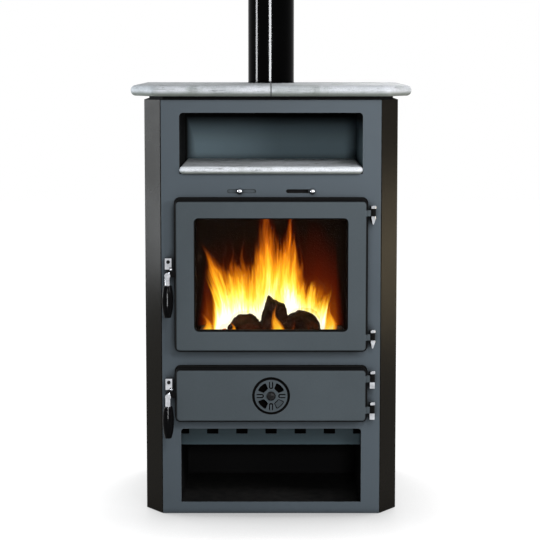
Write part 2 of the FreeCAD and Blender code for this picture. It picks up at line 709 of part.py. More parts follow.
rear = new_body("RearSheet")
rear_sketch = sketch_on(rear, "XZ_Plane", "rear_y")
rectangle(rear_sketch, ("-case_half", "case_half"), ("0", "case_height"))
circle(rear_sketch, "-socket_side", "socket_high", "socket_radius + socket_hole_gap")
circle(rear_sketch, "socket_side", "socket_low", "socket_radius + socket_hole_gap")
circle(rear_sketch, "-socket_side", "socket_low", "small_radius + socket_hole_gap")
circle(rear_sketch, "socket_side", "socket_high", "small_radius + socket_hole_gap")
for across in ("-case_half + side_flange / 2", "case_half - side_flange / 2"):
    for level in ("panel_screw_inset", "case_height / 2", "case_height - panel_screw_inset"):
        circle(rear_sketch, across, level, "screw_radius + fit_gap")
pad(rear, rear_sketch, "rear_sheet")
vent_sketch = sketch_on(rear, "XZ_Plane", "rear_in")
for across in ("-louvre_side", "louvre_side"):
    reach = ("%s - louvre_long / 2" % across, "%s + louvre_long / 2" % across)
    slot(vent_sketch, reach, "louvre_rise", "louvre_high")
vents = pocket(rear, vent_sketch, "rear_sheet")
vent_rows = rear.newObject("PartDesign::LinearPattern", "RearSheet_rows")
vent_rows.Originals = [vents]
vent_rows.Direction = (vent_sketch, ["V_Axis"])
bind(vent_rows, "Occurrences", "louvre_count")
bind(vent_rows, "Length", "louvre_pitch * (louvre_count - 1)")
rear.Tip = vent_rows
keep("rear_panel", rear)


def panel_screw(name, across, level):
    tip = "rear_in - side_sheet - screw_tail"
    shank = rod(name + "_shank", "y", "screw_radius", tip, "rear_y", across, level)
    head = rod(name + "_head", "y", "screw_head", "rear_y", "rear_y + screw_head_high", across, level)
    return fuse(name, shank, head)


panel_screws = []
for across in ("-case_half + side_flange / 2", "case_half - side_flange / 2"):
    for level in ("panel_screw_inset", "case_height / 2", "case_height - panel_screw_inset"):
        panel_screws.append(panel_screw("RearScrew%d" % len(panel_screws), across, level))
keep("rear_panel_screws", group("RearScrews", *panel_screws))

top = plate("TopSheet", "-side_sheet", "rear_in - side_sheet", "flue_top", "case_height")
top_hole = sketch_on(top, "XY_Plane", "case_height")
circle(top_hole, "0", "flue_y", "collar_out + fit_gap")
pocket(top, top_hole, "top_sheet")
keep("top_plate", top)

ring = plate("TopFrame", "-frame_inset", "rear_y - frame_inset", "case_height", "slab_bottom")
ring_sketch = sketch_on(ring, "XY_Plane", "slab_bottom")
ring_right, ring_left = outline("-frame_inset - frame_width", "rear_y - frame_inset - frame_width")
loop(ring_sketch, ring_right + ring_left)
pocket(ring, ring_sketch, "frame_height")
ring_notch = sketch_on(ring, "XY_Plane", "slab_bottom")
circle(ring_notch, "0", "flue_y", "collar_flange + fit_gap")
pocket(ring, ring_notch, "frame_height")
keep("top_frame", ring)

# Stone top in two slabs that meet at the middle, round the flue pipe.
slab = new_body("SlabRight")
slab_sketch = sketch_on(slab, "XY_Plane", "slab_bottom")
slab_right, slab_left = outline("slab_over", "rear_y + slab_rear_over")
seam = "slab_seam / 2"
loop(slab_sketch, [(seam, slab_right[0][1])] + slab_right + [(seam, slab_right[2][1])])
slab_pad = pad(slab, slab_sketch, "slab_thick")
slab_corners = round_edges(slab, slab_pad, "slab_corner", lambda b: b.ZLength > 1 and b.XMin > 10)
round_edges(slab, slab_corners, "slab_edge", lambda b: b.ZLength < 0.01 and b.XLength + b.XMin > 1)
slab_hole = sketch_on(slab, "XY_Plane", "slab_top")
circle(slab_hole, "0", "flue_y", "flue_radius + slab_hole_gap")
pocket(slab, slab_hole, "slab_thick")
keep("top_slab_right", slab)
keep("top_slab_left", mirrored("SlabLeft", slab))

# Niche box and its stone shelf.
niche_out = "niche_half + niche_margin + niche_sheet"
niche_in = "niche_half + niche_margin"
niche_roof = "niche_top + niche_margin"
niche_shell = block("NicheShell", ("-(%s)" % niche_out, niche_out), ("panel_back", "niche_back"),
                    ("niche_bottom - niche_sheet", niche_roof + " + niche_sheet"))
niche_room = block("NicheRoom", ("-(%s)" % niche_in, niche_in), ("panel_back", "niche_back - niche_sheet"),
                   ("niche_bottom", niche_roof))
keep("niche_liner", cut("NicheBox", niche_shell, niche_room))

shelf = new_body("Shelf")
shelf_sketch = sketch_on(shelf, "XY_Plane", "niche_bottom")
shelf_half = "niche_half - fit_gap"
shelf_front = "front_y - shelf_proud"
shelf_rear = "niche_back - niche_sheet - fit_gap"
loop(shelf_sketch, [
    ("-(%s) + shelf_corner" % shelf_half, shelf_front),
    ("%s - shelf_corner" % shelf_half, shelf_front, "shelf_corner"),
    (shelf_half, "%s + shelf_corner" % shelf_front),
    (shelf_half, shelf_rear),
    ("-(%s)" % shelf_half, shelf_rear),
    ("-(%s)" % shelf_half, "%s + shelf_corner" % shelf_front, "shelf_corner"),
])
shelf_pad = pad(shelf, shelf_sketch, "shelf_thick")
front_line = num(shelf_front) + num("shelf_corner")
round_edges(shelf, shelf_pad, "shelf_edge", lambda b: b.ZLength < 0.01 and b.YMax < front_line + 0.01)
keep("niche_shelf", shelf)

# Door frame behind the front panel.
jamb = new_body("DoorFrame")
jamb_sketch = sketch_on(jamb, "XZ_Plane", "frame_back")
rectangle(jamb_sketch, ("-frame_half", "frame_half"), ("ash_cut_bottom - door_frame_lap", "frame_top"))
rectangle(jamb_sketch, ("-door_cut_half + fire_mouth_inset", "door_cut_half - fire_mouth_inset"),
          ("fire_cut_bottom + fire_mouth_inset", "fire_cut_top - fire_mouth_inset"))
rectangle(jamb_sketch, ("-door_cut_half + ash_mouth_inset", "door_cut_half - ash_mouth_inset"),
          ("ash_cut_bottom + ash_mouth_inset", "ash_cut_top - ash_mouth_inset"))
pad(jamb, jamb_sketch, "door_frame_thick")
keep("front_frame", jamb)

# Air slides: guide box behind the panel, two plates and two knobs.
guide_shell = block("GuideShell", ("-box_half", "box_half"), ("panel_back", "frame_back"),
                    ("slot_level - box_high / 2", "slot_level + box_high / 2"))
guide_x = ("-box_half + box_end", "box_half - box_end")
guide_track = block("GuideTrack", guide_x, ("panel_back", "slide_back + fit_gap"),
                    ("slot_level - slide_high / 2 - fit_gap", "slot_level + slide_high / 2 + fit_gap"))
guide_duct = block("GuideDuct", guide_x, ("panel_back", "slide_back + fit_gap + plenum_deep"),
                   ("slot_level - plenum_high / 2", "slot_level + plenum_high / 2"))
keep("air_slide_box", cut("GuideBox", guide_shell, guide_track, guide_duct))


def air_slide(name, knob_at, near, far):
    sheet = block(name + "_sheet", ("%s - %s" % (knob_at, near), "%s + %s" % (knob_at, far)),
                  ("slide_front", "slide_back"),
                  ("slot_level - slide_high / 2", "slot_level + slide_high / 2"))
    hole = rod(name + "_hole", "y", "knob_stem", "slide_front", "slide_back", knob_at, "slot_level")
    return cut(name, sheet, hole)


def air_knob(name, knob_at):
    stem = "slide_back - front_y + knob_gap"
    dome = "(knob_radius^2 + knob_high^2) / (2 * knob_high)"
    return turned(name, [
        ("0", "0"),
        ("knob_stem", "0"),
        ("knob_stem", stem),
        ("knob_radius", stem),
        ("knob_radius", "%s + knob_rim" % stem, dome),
        ("0", "%s + knob_rim + knob_high" % stem),
    ], knob_at, "slide_back", "slot_level", to_viewer)


keep("air_slide_left", air_slide("SlideLeft", "left_knob", "slide_half", "slide_half"))
keep("air_slide_right", air_slide("SlideRight", "right_knob", "slide_short", "slide_half"))
keep("air_knob_left", air_knob("KnobLeft", "left_knob"))
keep("air_knob_right", air_knob("KnobRight", "right_knob"))

# Boiler: firebox inside a water jacket open to the rear sockets.
jacket_shell = block("JacketShell", ("-jacket_half", "jacket_half"), ("frame_back", "jacket_back"),
                     ("firebox_floor", "firebox_roof"))
jacket_fire = block("JacketFire", ("-firebox_half", "firebox_half"), ("frame_back", "firebox_rear"),
                    ("firebox_floor", "firebox_roof"))
water_z = ("firebox_floor + jacket_wall", "firebox_roof - jacket_wall")
water_y = ("frame_back + jacket_wall", "jacket_back - jacket_wall")
water_out = "jacket_half - jacket_wall"
water_in = "firebox_half + jacket_wall"
water_right = block("WaterRight", (water_in, water_out), water_y, water_z)
water_left = block("WaterLeft", ("-(%s)" % water_out, "-(%s)" % water_in), water_y, water_z)
water_rear = block("WaterRear", ("-(%s)" % water_out, water_out),
                   ("firebox_rear + jacket_wall", "jacket_back - jacket_wall"), water_z)


def jacket_port(name, bore, across, level):
    radius = "%s * jacket_port" % bore
    return rod(name, "y", radius, "jacket_back - jacket_wall", "jacket_back", across, level)


keep("water_jacket", cut("Jacket", jacket_shell, jacket_fire, water_right, water_left, water_rear,
                         jacket_port("FlowPort", "socket_bore", "-socket_side", "socket_high"),
                         jacket_port("ReturnPort", "socket_bore", "socket_side", "socket_low"),
                         jacket_port("DrainPort", "small_bore", "-socket_side", "socket_low"),
                         jacket_port("SensorPort", "small_bore", "socket_side", "socket_high")))


def socket(name, radius, bore, across, level):
    return turned(name, [
        (bore, "0"),
        (radius, "0"),
        (radius, "socket_end - jacket_back"),
        (bore, "socket_end - jacket_back"),
    ], across, "jacket_back", level, to_rear)


keep("flow_socket", socket("FlowSocket", "socket_radius", "socket_bore", "-socket_side", "socket_high"))
keep("return_socket", socket("ReturnSocket", "socket_radius", "socket_bore", "socket_side", "socket_low"))
drain = socket("DrainSocket", "small_radius", "small_bore", "-socket_side", "socket_low")
sensor = socket("SensorSocket", "small_radius", "small_bore", "socket_side", "socket_high")
keep("small_sockets", group("SmallSockets", drain, sensor))

floor_shell = block("FloorShell", ("-jacket_half", "jacket_half"), ("frame_back", "jacket_back"),
                    ("ash_roof", "firebox_floor"))
grate_front = "frame_back + grate_setback"
grate_rear = "firebox_rear - brick_thick - grate_rear_gap"
floor_hole = block("FloorHole", ("-grate_width / 2 + grate_seat", "grate_width / 2 - grate_seat"),
                   (grate_front + " + grate_seat", grate_rear + " - grate_seat"),
                   ("ash_roof", "firebox_floor"))
keep("firebox_floor", cut("FireFloor", floor_shell, floor_hole))

grate = new_body("GrateBody")
grate_sketch = sketch_on(grate, "XY_Plane", "firebox_floor")
rectangle(grate_sketch, ("-grate_width / 2", "grate_width / 2"), (grate_front, grate_rear))
pad(grate, grate_sketch, "grate_thick")
grate_slots = sketch_on(grate, "XY_Plane", "firebox_floor + grate_thick")
grate_first = "-grate_pitch * (grate_count - 1) / 2"
rectangle(grate_slots, (grate_first + " - grate_slot / 2", grate_first + " + grate_slot / 2"),
          (grate_front + " + grate_seat + grate_slot", grate_rear + " - grate_seat - grate_slot"))
grate_pocket = pocket(grate, grate_slots, "grate_thick")
grate_rows = grate.newObject("PartDesign::LinearPattern", "GrateBody_rows")
grate_rows.Originals = [grate_pocket]
grate_rows.Direction = (grate_slots, ["H_Axis"])
bind(grate_rows, "Occurrences", "grate_count")
bind(grate_rows, "Length", "grate_pitch * (grate_count - 1)")
grate.Tip = grate_rows
keep("grate", grate)

brick_z = ("firebox_floor", "brick_top")
brick_right = block("BrickRight", ("brick_in", "firebox_half"),
                    ("frame_back + brick_setback", "firebox_rear"), brick_z)
keep("side_bricks", group("SideBricks", brick_right, mirrored("BrickLeft", brick_right)))
keep("rear_brick", block("RearBrick", ("-brick_in + fit_gap", "brick_in - fit_gap"),
                         ("firebox_rear - brick_thick", "firebox_rear"), brick_z))
keep("baffle_plate", block("Baffle", ("-firebox_half + fit_gap", "firebox_half - fit_gap"),
                           ("frame_back + baffle_setback", "firebox_rear - fit_gap"),
                           ("brick_top", "brick_top + baffle_thick")))
keep("log_guard", block("LogGuard", ("-brick_in + fit_gap", "brick_in - fit_gap"),
                        ("frame_back + guard_setback", "frame_back + guard_setback + guard_thick"),
                        ("firebox_floor", "firebox_floor + guard_high")))

port_x = ("-flue_port_half", "flue_port_half")
port_y = ("flue_box_front + flue_sheet + flue_port_edge", "firebox_rear - flue_port_edge")
roof_shell = block("RoofShell", ("-jacket_half", "jacket_half"), ("frame_back", "jacket_back"),
                   ("firebox_roof", "flue_floor"))
roof_port = block("RoofPort", port_x, port_y, ("firebox_roof", "flue_floor"))
keep("firebox_roof", cut("FireRoof", roof_shell, roof_port))

flue_x = ("-flue_box_half", "flue_box_half")
flue_span = ("flue_box_front", "flue_box_back")
flue_wall_z = ("flue_floor + flue_sheet", "flue_top - flue_sheet")
flue_tube = block("FlueTube", flue_x, flue_span, flue_wall_z)
flue_room = block("FlueRoom", ("-flue_box_half + flue_sheet", "flue_box_half - flue_sheet"),
                  ("flue_box_front + flue_sheet", "flue_box_back - flue_sheet"), flue_wall_z)
flue_walls = cut("FlueWalls", flue_tube, flue_room)
flue_base = block("FlueBase", flue_x, flue_span, ("flue_floor", "flue_floor + flue_sheet"))
flue_port = block("FluePort", port_x, port_y, ("flue_floor", "flue_floor + flue_sheet"))
flue_lid = block("FlueLid", flue_x, flue_span, ("flue_top - flue_sheet", "flue_top"))
flue_hole = rod("FlueHole", "z", "collar_out + fit_gap", "flue_top - flue_sheet", "flue_top", "0", "flue_y")
keep("flue_box", group("FlueBox", flue_walls, cut("FlueFloor", flue_base, flue_port),
                       cut("FlueRoof", flue_lid, flue_hole)))

keep("flue_collar", turned("Collar", [
    ("collar_in - collar_ledge_wide", "-collar_deep"),
    ("collar_out", "-collar_deep"),
    ("collar_out", "0"),
    ("collar_flange", "0"),
    ("collar_flange", "collar_flange_thick"),
    ("collar_in", "collar_flange_thick"),
    ("collar_in", "-collar_deep + collar_ledge"),
    ("collar_in - collar_ledge_wide", "-collar_deep + collar_ledge"),
], "0", "flue_y", "case_height"))
keep("flue_pipe", turned("Pipe", [
    ("flue_radius - flue_wall", "0"),
    ("flue_radius", "0"),
    ("flue_radius", "flue_long"),
    ("flue_radius - flue_wall", "flue_long"),
], "0", "flue_y", "pipe_bottom"))

# Ash box, ash pan with its handle, and the wood store under them.
ash_x = ("-ash_half", "ash_half")
ash_shell = block("AshShell", ash_x, ("frame_back", "ash_back"), ("ash_floor", "ash_roof"))
ash_room = block("AshRoom", ("-firebox_half", "firebox_half"), ("frame_back", "firebox_rear"),
                 ("ash_floor + ash_sheet", "ash_roof"))
keep("ash_box", cut("AshBox", ash_shell, ash_room))

pan_front = "panel_back + pan_setback"
pan_rear = "firebox_rear - pan_rear_gap"
pan_bottom = "ash_floor + ash_sheet"
pan_low = pan_bottom + " + pan_sheet"
pan_top = pan_bottom + " + pan_high"
pan_x = ("-pan_half", "pan_half")
pan_base = block("PanBase", pan_x, (pan_front, pan_rear), (pan_bottom, pan_low))
pan_side = block("PanSide", ("pan_half - pan_sheet", "pan_half"),
                 (pan_front + " + pan_sheet", pan_rear + " - pan_sheet"), (pan_low, pan_top))
pan_far = block("PanFar", pan_x, (pan_rear + " - pan_sheet", pan_rear), (pan_low, pan_top))
pan_near = block("PanNear", pan_x, (pan_front, pan_front + " + pan_sheet"), (pan_low, pan_top))
bail_level = pan_bottom + " + bail_rise"
bail_y = pan_front + " - bail_out"
bail = [
    rod("BailLeft", "y", "bail_radius", bail_y, pan_front, "-bail_half", bail_level),
    rod("BailRight", "y", "bail_radius", bail_y, pan_front, "bail_half", bail_level),
    rod("BailBar", "x", "bail_radius", "-bail_half", "bail_half", bail_y, bail_level),
]
for name, across in (("BailKnuckleLeft", "-bail_half"), ("BailKnuckleRight", "bail_half")):
    knuckle = doc.addObject("Part::Sphere", name)
    bind(knuckle, "Radius", "bail_radius")
    bail.append(place(knuckle, across, bail_y, bail_level))
keep("ash_pan", group("AshPan", pan_base, pan_side, mirrored("PanSideLeft", pan_side), pan_far,
                      fuse("PanFace", pan_near, *bail)))

store_shell = block("StoreShell", ash_x, ("frame_back", "ash_back"), ("base_sheet", "ash_floor"))
store_room = block("StoreRoom", ("-ash_half + store_sheet", "ash_half - store_sheet"),
                   ("frame_back", "ash_back - store_sheet"), ("base_sheet", "ash_floor"))
keep("wood_store_walls", cut("StoreWalls", store_shell, store_room))

shield = new_body("ShieldSheet")
shield_sketch = sketch_on(shield, "XZ_Plane", "shield_y + shield_sheet")
shield_half = "ash_half - store_sheet - fit_gap"
rectangle(shield_sketch, ("-(%s)" % shield_half, shield_half), ("ash_floor - shield_drop", "ash_floor"))
pad(shield, shield_sketch, "shield_sheet")
shield_slots = sketch_on(shield, "XZ_Plane", "shield_y")
shield_slot_low = "ash_floor - shield_drop + shield_slot_rise"
shield_first = "-shield_pitch * (shield_count - 1) / 2"
rectangle(shield_slots, (shield_first + " - shield_slot_wide / 2", shield_first + " + shield_slot_wide / 2"),
          (shield_slot_low, shield_slot_low + " + shield_slot_high"))
shield_pocket = pocket(shield, shield_slots, "shield_sheet")
shield_rows = shield.newObject("PartDesign::LinearPattern", "ShieldSheet_rows")
shield_rows.Originals = [shield_pocket]
shield_rows.Direction = (shield_slots, ["H_Axis"])
bind(shield_rows, "Occurrences", "shield_count")
bind(shield_rows, "Length", "shield_pitch * (shield_count - 1)")
shield.Tip = shield_rows
keep("slotted_shield", shield)


def door_casting(name, low, high):
    # cast door: rounded block, hollow at the back, with a seal groove in its rim
    body = new_body(name)
    sk = sketch_on(body, "XZ_Plane", "door_back")
    rounded(sk, ("-door_half", "door_half"), (low, high), "door_corner")
    solid = pad(body, sk, "door_depth")
    face = num("door_front")
    round_edges(body, solid, "door_edge", lambda b: b.YMax < face + 0.01)
    hollow = sketch_on(body, "XZ_Plane", "door_back")
    rectangle(hollow, ("-door_half + door_rim", "door_half - door_rim"),
              (low + " + door_rim", high + " - door_rim"))
    pocket(body, hollow, "door_depth - door_wall", True)
    groove = sketch_on(body, "XZ_Plane", "door_back")
    seal_loops(groove, low, high, "groove_inset", "groove_width")
    pocket(body, groove, "groove_depth", True)
    return body


def seal_loops(sk, low, high, inset, width):
    # a square ring inside the door edge by inset
    rectangle(sk, ("-door_half + %s" % inset, "door_half - (%s)" % inset),
              ("%s + %s" % (low, inset), "%s - (%s)" % (high, inset)))
    far = "%s + %s" % (inset, width)
    rectangle(sk, ("-door_half + (%s)" % far, "door_half - (%s)" % far),
              ("%s + %s" % (low, far), "%s - (%s)" % (high, far)))


def door_seal(name, low, high):
    body = new_body(name)
    sk = sketch_on(body, "XZ_Plane", "panel_back - fit_gap")
    seal_loops(sk, low, high, "groove_inset + fit_gap", "groove_width - 2 * fit_gap")
    pad(body, sk, "seal_thick")
    return body


def hinge_lug(name, bottom, tall):
    top = "%s + %s" % (bottom, tall)
    barrel = rod(name + "_barrel", "z", "barrel_radius", bottom, top, "hinge_x", "hinge_y")
    arm = block(name + "_arm", ("door_half - door_edge", "hinge_x"),
                ("hinge_y - lug_arm / 2", "hinge_y + lug_arm / 2"),
                (bottom, "%s + %s * lug_arm_share" % (bottom, tall)))
    return [barrel, arm]


def hinge_bore(name, bottom, tall):
    return rod(name, "z", "pin_radius + run_gap", bottom, "%s + %s" % (bottom, tall), "hinge_x", "hinge_y")


def latch_lug(name, level):
    eye = rod(name + "_eye", "y", "latch_lug_radius", "lug_front", "lug_back", "latch_x", level)
    arm = block(name + "_arm", ("latch_x", "-door_half + door_edge"), ("lug_front", "lug_back"),
                ("%s - latch_arm_half" % level, "%s + latch_arm_half" % level))
    return [eye, arm]


def latch_bore(name, level):
    return rod(name, "y", "spindle_radius + run_gap", "lug_front", "lug_back", "latch_x", level)


fire_low_lug = "(fire_cut_bottom + fire_lug_low)"
fire_high_lug = "(fire_cut_top - fire_lug_high)"
ash_low_lug = "(ash_cut_bottom + ash_lug_low)"
ash_high_lug = "(ash_cut_top - ash_lug_high)"

# Fire door with its window, glass, tape, clips, seal, lugs and latch.
fire = door_casting("FireCasting", "fire_low", "fire_high")
fire_window = sketch_on(fire, "XZ_Plane", "door_front")
rounded(fire_window, ("-window_half", "window_half"), ("window_bottom", "window_top"), "window_corner")
fire_open = pocket(fire, fire_window, "door_wall")
face_line = num("door_front")
window_edge = num("window_half") + 0.01
bevel_edges(fire, fire_open, "window_bevel",
            lambda b: b.YMax < face_line + 0.01 and max(-b.XMin, b.XMax) < window_edge)


def clip_screw(name, across, level):
    shank = rod(name + "_shank", "y", "screw_radius", "door_inner", "glass_back + clip_thick", across, level)
    head = rod(name + "_head", "y", "screw_head", "glass_back + clip_thick",
               "glass_back + clip_thick + screw_head_high", across, level)
    return fuse(name, shank, head)


clip_spots = [("-clip_spread", "clip_low", 1), ("clip_spread", "clip_low", 1),
              ("-clip_spread", "clip_high", -1), ("clip_spread", "clip_high", -1)]
bosses = []
boss_holes = []
clips = []
clip_screws = []
for i, (across, level, way) in enumerate(clip_spots):
    spot = ("door_inner", "glass_back", across, level)
    bosses.append(rod("ClipBoss%d" % i, "y", "clip_boss", *spot))
    boss_holes.append(rod("ClipBossHole%d" % i, "y", "screw_radius", *spot))
    near = level + (" - clip_boss" if way > 0 else " - clip_boss - clip_gap - clip_lap")
    far = level + (" + clip_boss + clip_gap + clip_lap" if way > 0 else " + clip_boss")
    leaf = block("ClipLeaf%d" % i, ("%s - clip_width / 2" % across, "%s + clip_width / 2" % across),
                 ("glass_back", "glass_back + clip_thick"), (near, far))
    hole = rod("ClipHole%d" % i, "y", "screw_radius", "glass_back", "glass_back + clip_thick", across, level)
    clips.append(cut("Clip%d" % i, leaf, hole))
    clip_screws.append(clip_screw("ClipScrew%d" % i, across, level))

fire_whole = fuse("FireWhole", fire, *bosses,
                  *hinge_lug("FireLugLow", fire_low_lug, "fire_barrel"),
                  *hinge_lug("FireLugHigh", fire_high_lug, "fire_barrel"),
                  *latch_lug("FireLatchLug", "fire_latch"))
keep("fire_door", cut("FireDoor", fire_whole, *boss_holes,
                      hinge_bore("FireBoreLow", fire_low_lug, "fire_barrel"),
                      hinge_bore("FireBoreHigh", fire_high_lug, "fire_barrel"),
                      latch_bore("FireLatchBore", "fire_latch")))
keep("glass_clips", group("GlassClips", *clips))
keep("glass_clip_screws", group("GlassClipScrews", *clip_screws))

glass_x = ("-window_half - glass_lap", "window_half + glass_lap")
glass_z = ("window_bottom - glass_lap", "window_top + glass_lap")
keep("fire_door_glass", block("Glass", glass_x, ("glass_front", "glass_back"), glass_z))
tape = new_body("Tape")
tape_sketch = sketch_on(tape, "XZ_Plane", "glass_front")
rectangle(tape_sketch, glass_x, glass_z)
rectangle(tape_sketch, (glass_x[0] + " + gasket_width", glass_x[1] + " - gasket_width"),
          (glass_z[0] + " + gasket_width", glass_z[1] + " - gasket_width"))
pad(tape, tape_sketch, "gasket_thick")
keep("glass_gasket", tape)
keep("fire_door_seal", door_seal("FireSeal", "fire_low", "fire_high"))

# Ash door with its seal and the turning air wheel.
ash = door_casting("AshCasting", "ash_low", "ash_high")
wheel_recess = sketch_on(ash, "XZ_Plane", "door_front")
circle(wheel_recess, "0", "spin_level", "spin_radius + spin_ring")
pocket(ash, wheel_recess, "spin_recess")

wheel_ring = sketch_on(ash, "XZ_Plane", "spin_seat")
circle(wheel_ring, "0", "spin_level", "spin_radius + spin_ring")
circle(wheel_ring, "0", "spin_level", "spin_radius + fit_gap")
pocket(ash, wheel_ring, "ring_deep")


def vent(sk, turn, inner="vent_inner", outer="vent_outer", angle="vent_angle"):
    # ring segment about an angle seen from the front, with a straight inner side
    low = "(%d - (%s) / 2)" % (turn, angle)
    high = "(%d + (%s) / 2)" % (turn, angle)

    def spot(radius, side):
        return "(%s) * cos(%s)" % (radius, side), "spin_level + (%s) * sin(%s)" % (radius, side)

    loop(sk, [spot(inner, low), spot(outer, low) + (outer,), spot(outer, high), spot(inner, high)])


open_vents = (45, 135, 225)
closed_vent = 315
door_vents = sketch_on(ash, "XZ_Plane", "spin_seat")
for turn in open_vents:
    vent(door_vents, turn)
pocket(ash, door_vents, "door_inner - spin_seat")
bolt_hole = rod("BoltHole", "y", "bolt_radius", "spin_seat", "door_inner", "0", "spin_level")
ash_whole = fuse("AshWhole", ash,
                 *hinge_lug("AshLugLow", ash_low_lug, "ash_barrel"),
                 *hinge_lug("AshLugHigh", ash_high_lug, "ash_barrel"),
                 *latch_lug("AshLatchLug", "ash_latch"))
keep("ash_door", cut("AshDoor", ash_whole, bolt_hole,
                     hinge_bore("AshBoreLow", ash_low_lug, "ash_barrel"),
                     hinge_bore("AshBoreHigh", ash_high_lug, "ash_barrel"),
                     latch_bore("AshLatchBore", "ash_latch")))
keep("ash_door_seal", door_seal("AshSeal", "ash_low", "ash_high"))

wheel = new_body("AirWheel")
wheel_disc = sketch_on(wheel, "XZ_Plane", "spin_back")
circle(wheel_disc, "0", "spin_level", "spin_radius")
pad(wheel, wheel_disc, "spin_thick")
wheel_vents = sketch_on(wheel, "XZ_Plane", "spin_front")
for turn in open_vents:
    vent(wheel_vents, turn)
circle(wheel_vents, "0", "spin_level", "bolt_radius + run_gap")
pocket(wheel, wheel_vents, "spin_thick")
wheel_dips = sketch_on(wheel, "XZ_Plane", "spin_front")
vent(wheel_dips, closed_vent)
across = ("-dip_wide / 2", "dip_wide / 2")
upright = ("spin_level - dip_wide / 2", "spin_level + dip_wide / 2")
dip_end = "(dip_start + dip_long)"
rounded(wheel_dips, across, ("spin_level + dip_start", "spin_level + " + dip_end), "dip_corner")
rounded(wheel_dips, across, ("spin_level - " + dip_end, "spin_level - dip_start"), "dip_corner")
rounded(wheel_dips, ("dip_start", dip_end), upright, "dip_corner")
rounded(wheel_dips, ("-" + dip_end, "-dip_start"), upright, "dip_corner")
wheel_cuts = pocket(wheel, wheel_dips, "dip_deep")
vent_reach = num("vent_outer * sin(45 + vent_angle / 2)") + 1
vent_near = num("vent_inner * sin(45 - vent_angle / 2)") - 1
wheel_middle = num("spin_level")


def vent_corner_edge(b):
    side = abs(b.Center.x)
    level = abs(b.Center.z - wheel_middle)
    upright_edge = b.YLength > 1 and b.XLength < 0.01 and b.ZLength < 0.01
    return upright_edge and vent_near < min(side, level) and max(side, level) < vent_reach


round_edges(wheel, wheel_cuts, "vent_corner", vent_corner_edge)
wheel_bars = sketch_on(wheel, "XZ_Plane", "spin_front + dip_deep")
across = ("-bar_wide / 2", "bar_wide / 2")
upright = ("spin_level - bar_wide / 2", "spin_level + bar_wide / 2")
rectangle(wheel_bars, across, ("spin_level + bar_start", "spin_level + " + dip_end))
rectangle(wheel_bars, across, ("spin_level - " + dip_end, "spin_level - bar_start"))
rectangle(wheel_bars, ("bar_start", dip_end), upright)
rectangle(wheel_bars, ("-" + dip_end, "-bar_start"), upright)
pad(wheel, wheel_bars, "dip_deep + bar_high")
wheel_pad = sketch_on(wheel, "XZ_Plane", "spin_front + dip_deep")
vent(wheel_pad, closed_vent, "vent_inner + pad_gap", "vent_outer - pad_gap", "vent_angle - 2 * pad_turn")
pad(wheel, wheel_pad, "pad_high")
keep("air_spinner", wheel)

bolt_start = "door_inner + nut_thick + bolt_tail"
bolt_long = "%s - spin_front + fit_gap" % bolt_start
bolt_dome = "(bolt_head^2 + bolt_head_high^2) / (2 * bolt_head_high)"
keep("spinner_bolt", turned("WheelBolt", [
    ("0", "0"),
    ("bolt_radius", "0"),
    ("bolt_radius", bolt_long),
    ("bolt_head", bolt_long),
    ("bolt_head", "%s + bolt_rim" % bolt_long, bolt_dome),
    ("0", "%s + bolt_rim + bolt_head_high" % bolt_long),
], "0", bolt_start, "spin_level", to_viewer))
nut_prism = doc.addObject("Part::Prism", "NutPrism")
nut_prism.Polygon = 6
bind(nut_prism, "Circumradius", "nut_radius")
bind(nut_prism, "Height", "nut_thick")
place(nut_prism, "0", "door_inner", "spin_level", to_rear)
nut_hole = rod("NutHole", "y", "bolt_radius", "door_inner", "door_inner + nut_thick", "0", "spin_level")
keep("spinner_nut", cut("WheelNut", nut_prism, nut_hole))


# Hinges: brackets on the panel, pins dropped in from above through the door lugs.
def hinge_pin(name, bottom, tall):
    start = "%s - fit_gap - pin_depth" % bottom
    shank = "%s + 2 * fit_gap + pin_depth" % tall
    return turned(name, [
        ("0", "0"),
        ("pin_radius", "0"),
        ("pin_radius", shank),
        ("pin_head", shank),
        ("pin_head", "%s + pin_head_high - pin_bevel" % shank),
        ("pin_head - pin_bevel", "%s + pin_head_high" % shank),
        ("0", "%s + pin_head_high" % shank),
    ], "hinge_x", "hinge_y", start)


def pin_hole(name, bottom):
    top = "%s - fit_gap" % bottom
    return rod(name, "z", "pin_radius", "%s - pin_depth" % top, top, "hinge_x", "hinge_y")


def cone_bracket(name, bottom):
    post = turned(name + "_post", [
        ("0", "0"),
        ("cone_tip", "0"),
        ("cone_radius", "cone_height - cone_straight"),
        ("cone_radius", "cone_height"),
        ("0", "cone_height"),
    ], "hinge_x", "hinge_y", "%s - fit_gap - cone_height" % bottom)
    foot = block(name + "_foot", ("hinge_x - cone_foot_half", "hinge_x + cone_foot_half"),
                 ("hinge_y", "front_y"),
                 ("%s - fit_gap - cone_foot_low" % bottom, "%s - fit_gap - cone_foot_high" % bottom))
    return cut(name, fuse(name + "_solid", post, foot), pin_hole(name + "_hole", bottom))


def block_bracket(name, bottom):
    solid = block(name + "_solid", ("hinge_x - block_half", "hinge_x + block_half"),
                  ("hinge_y - block_half", "front_y"),
                  ("%s - fit_gap - block_height" % bottom, "%s - fit_gap" % bottom))
    return cut(name, solid, pin_hole(name + "_hole", bottom))


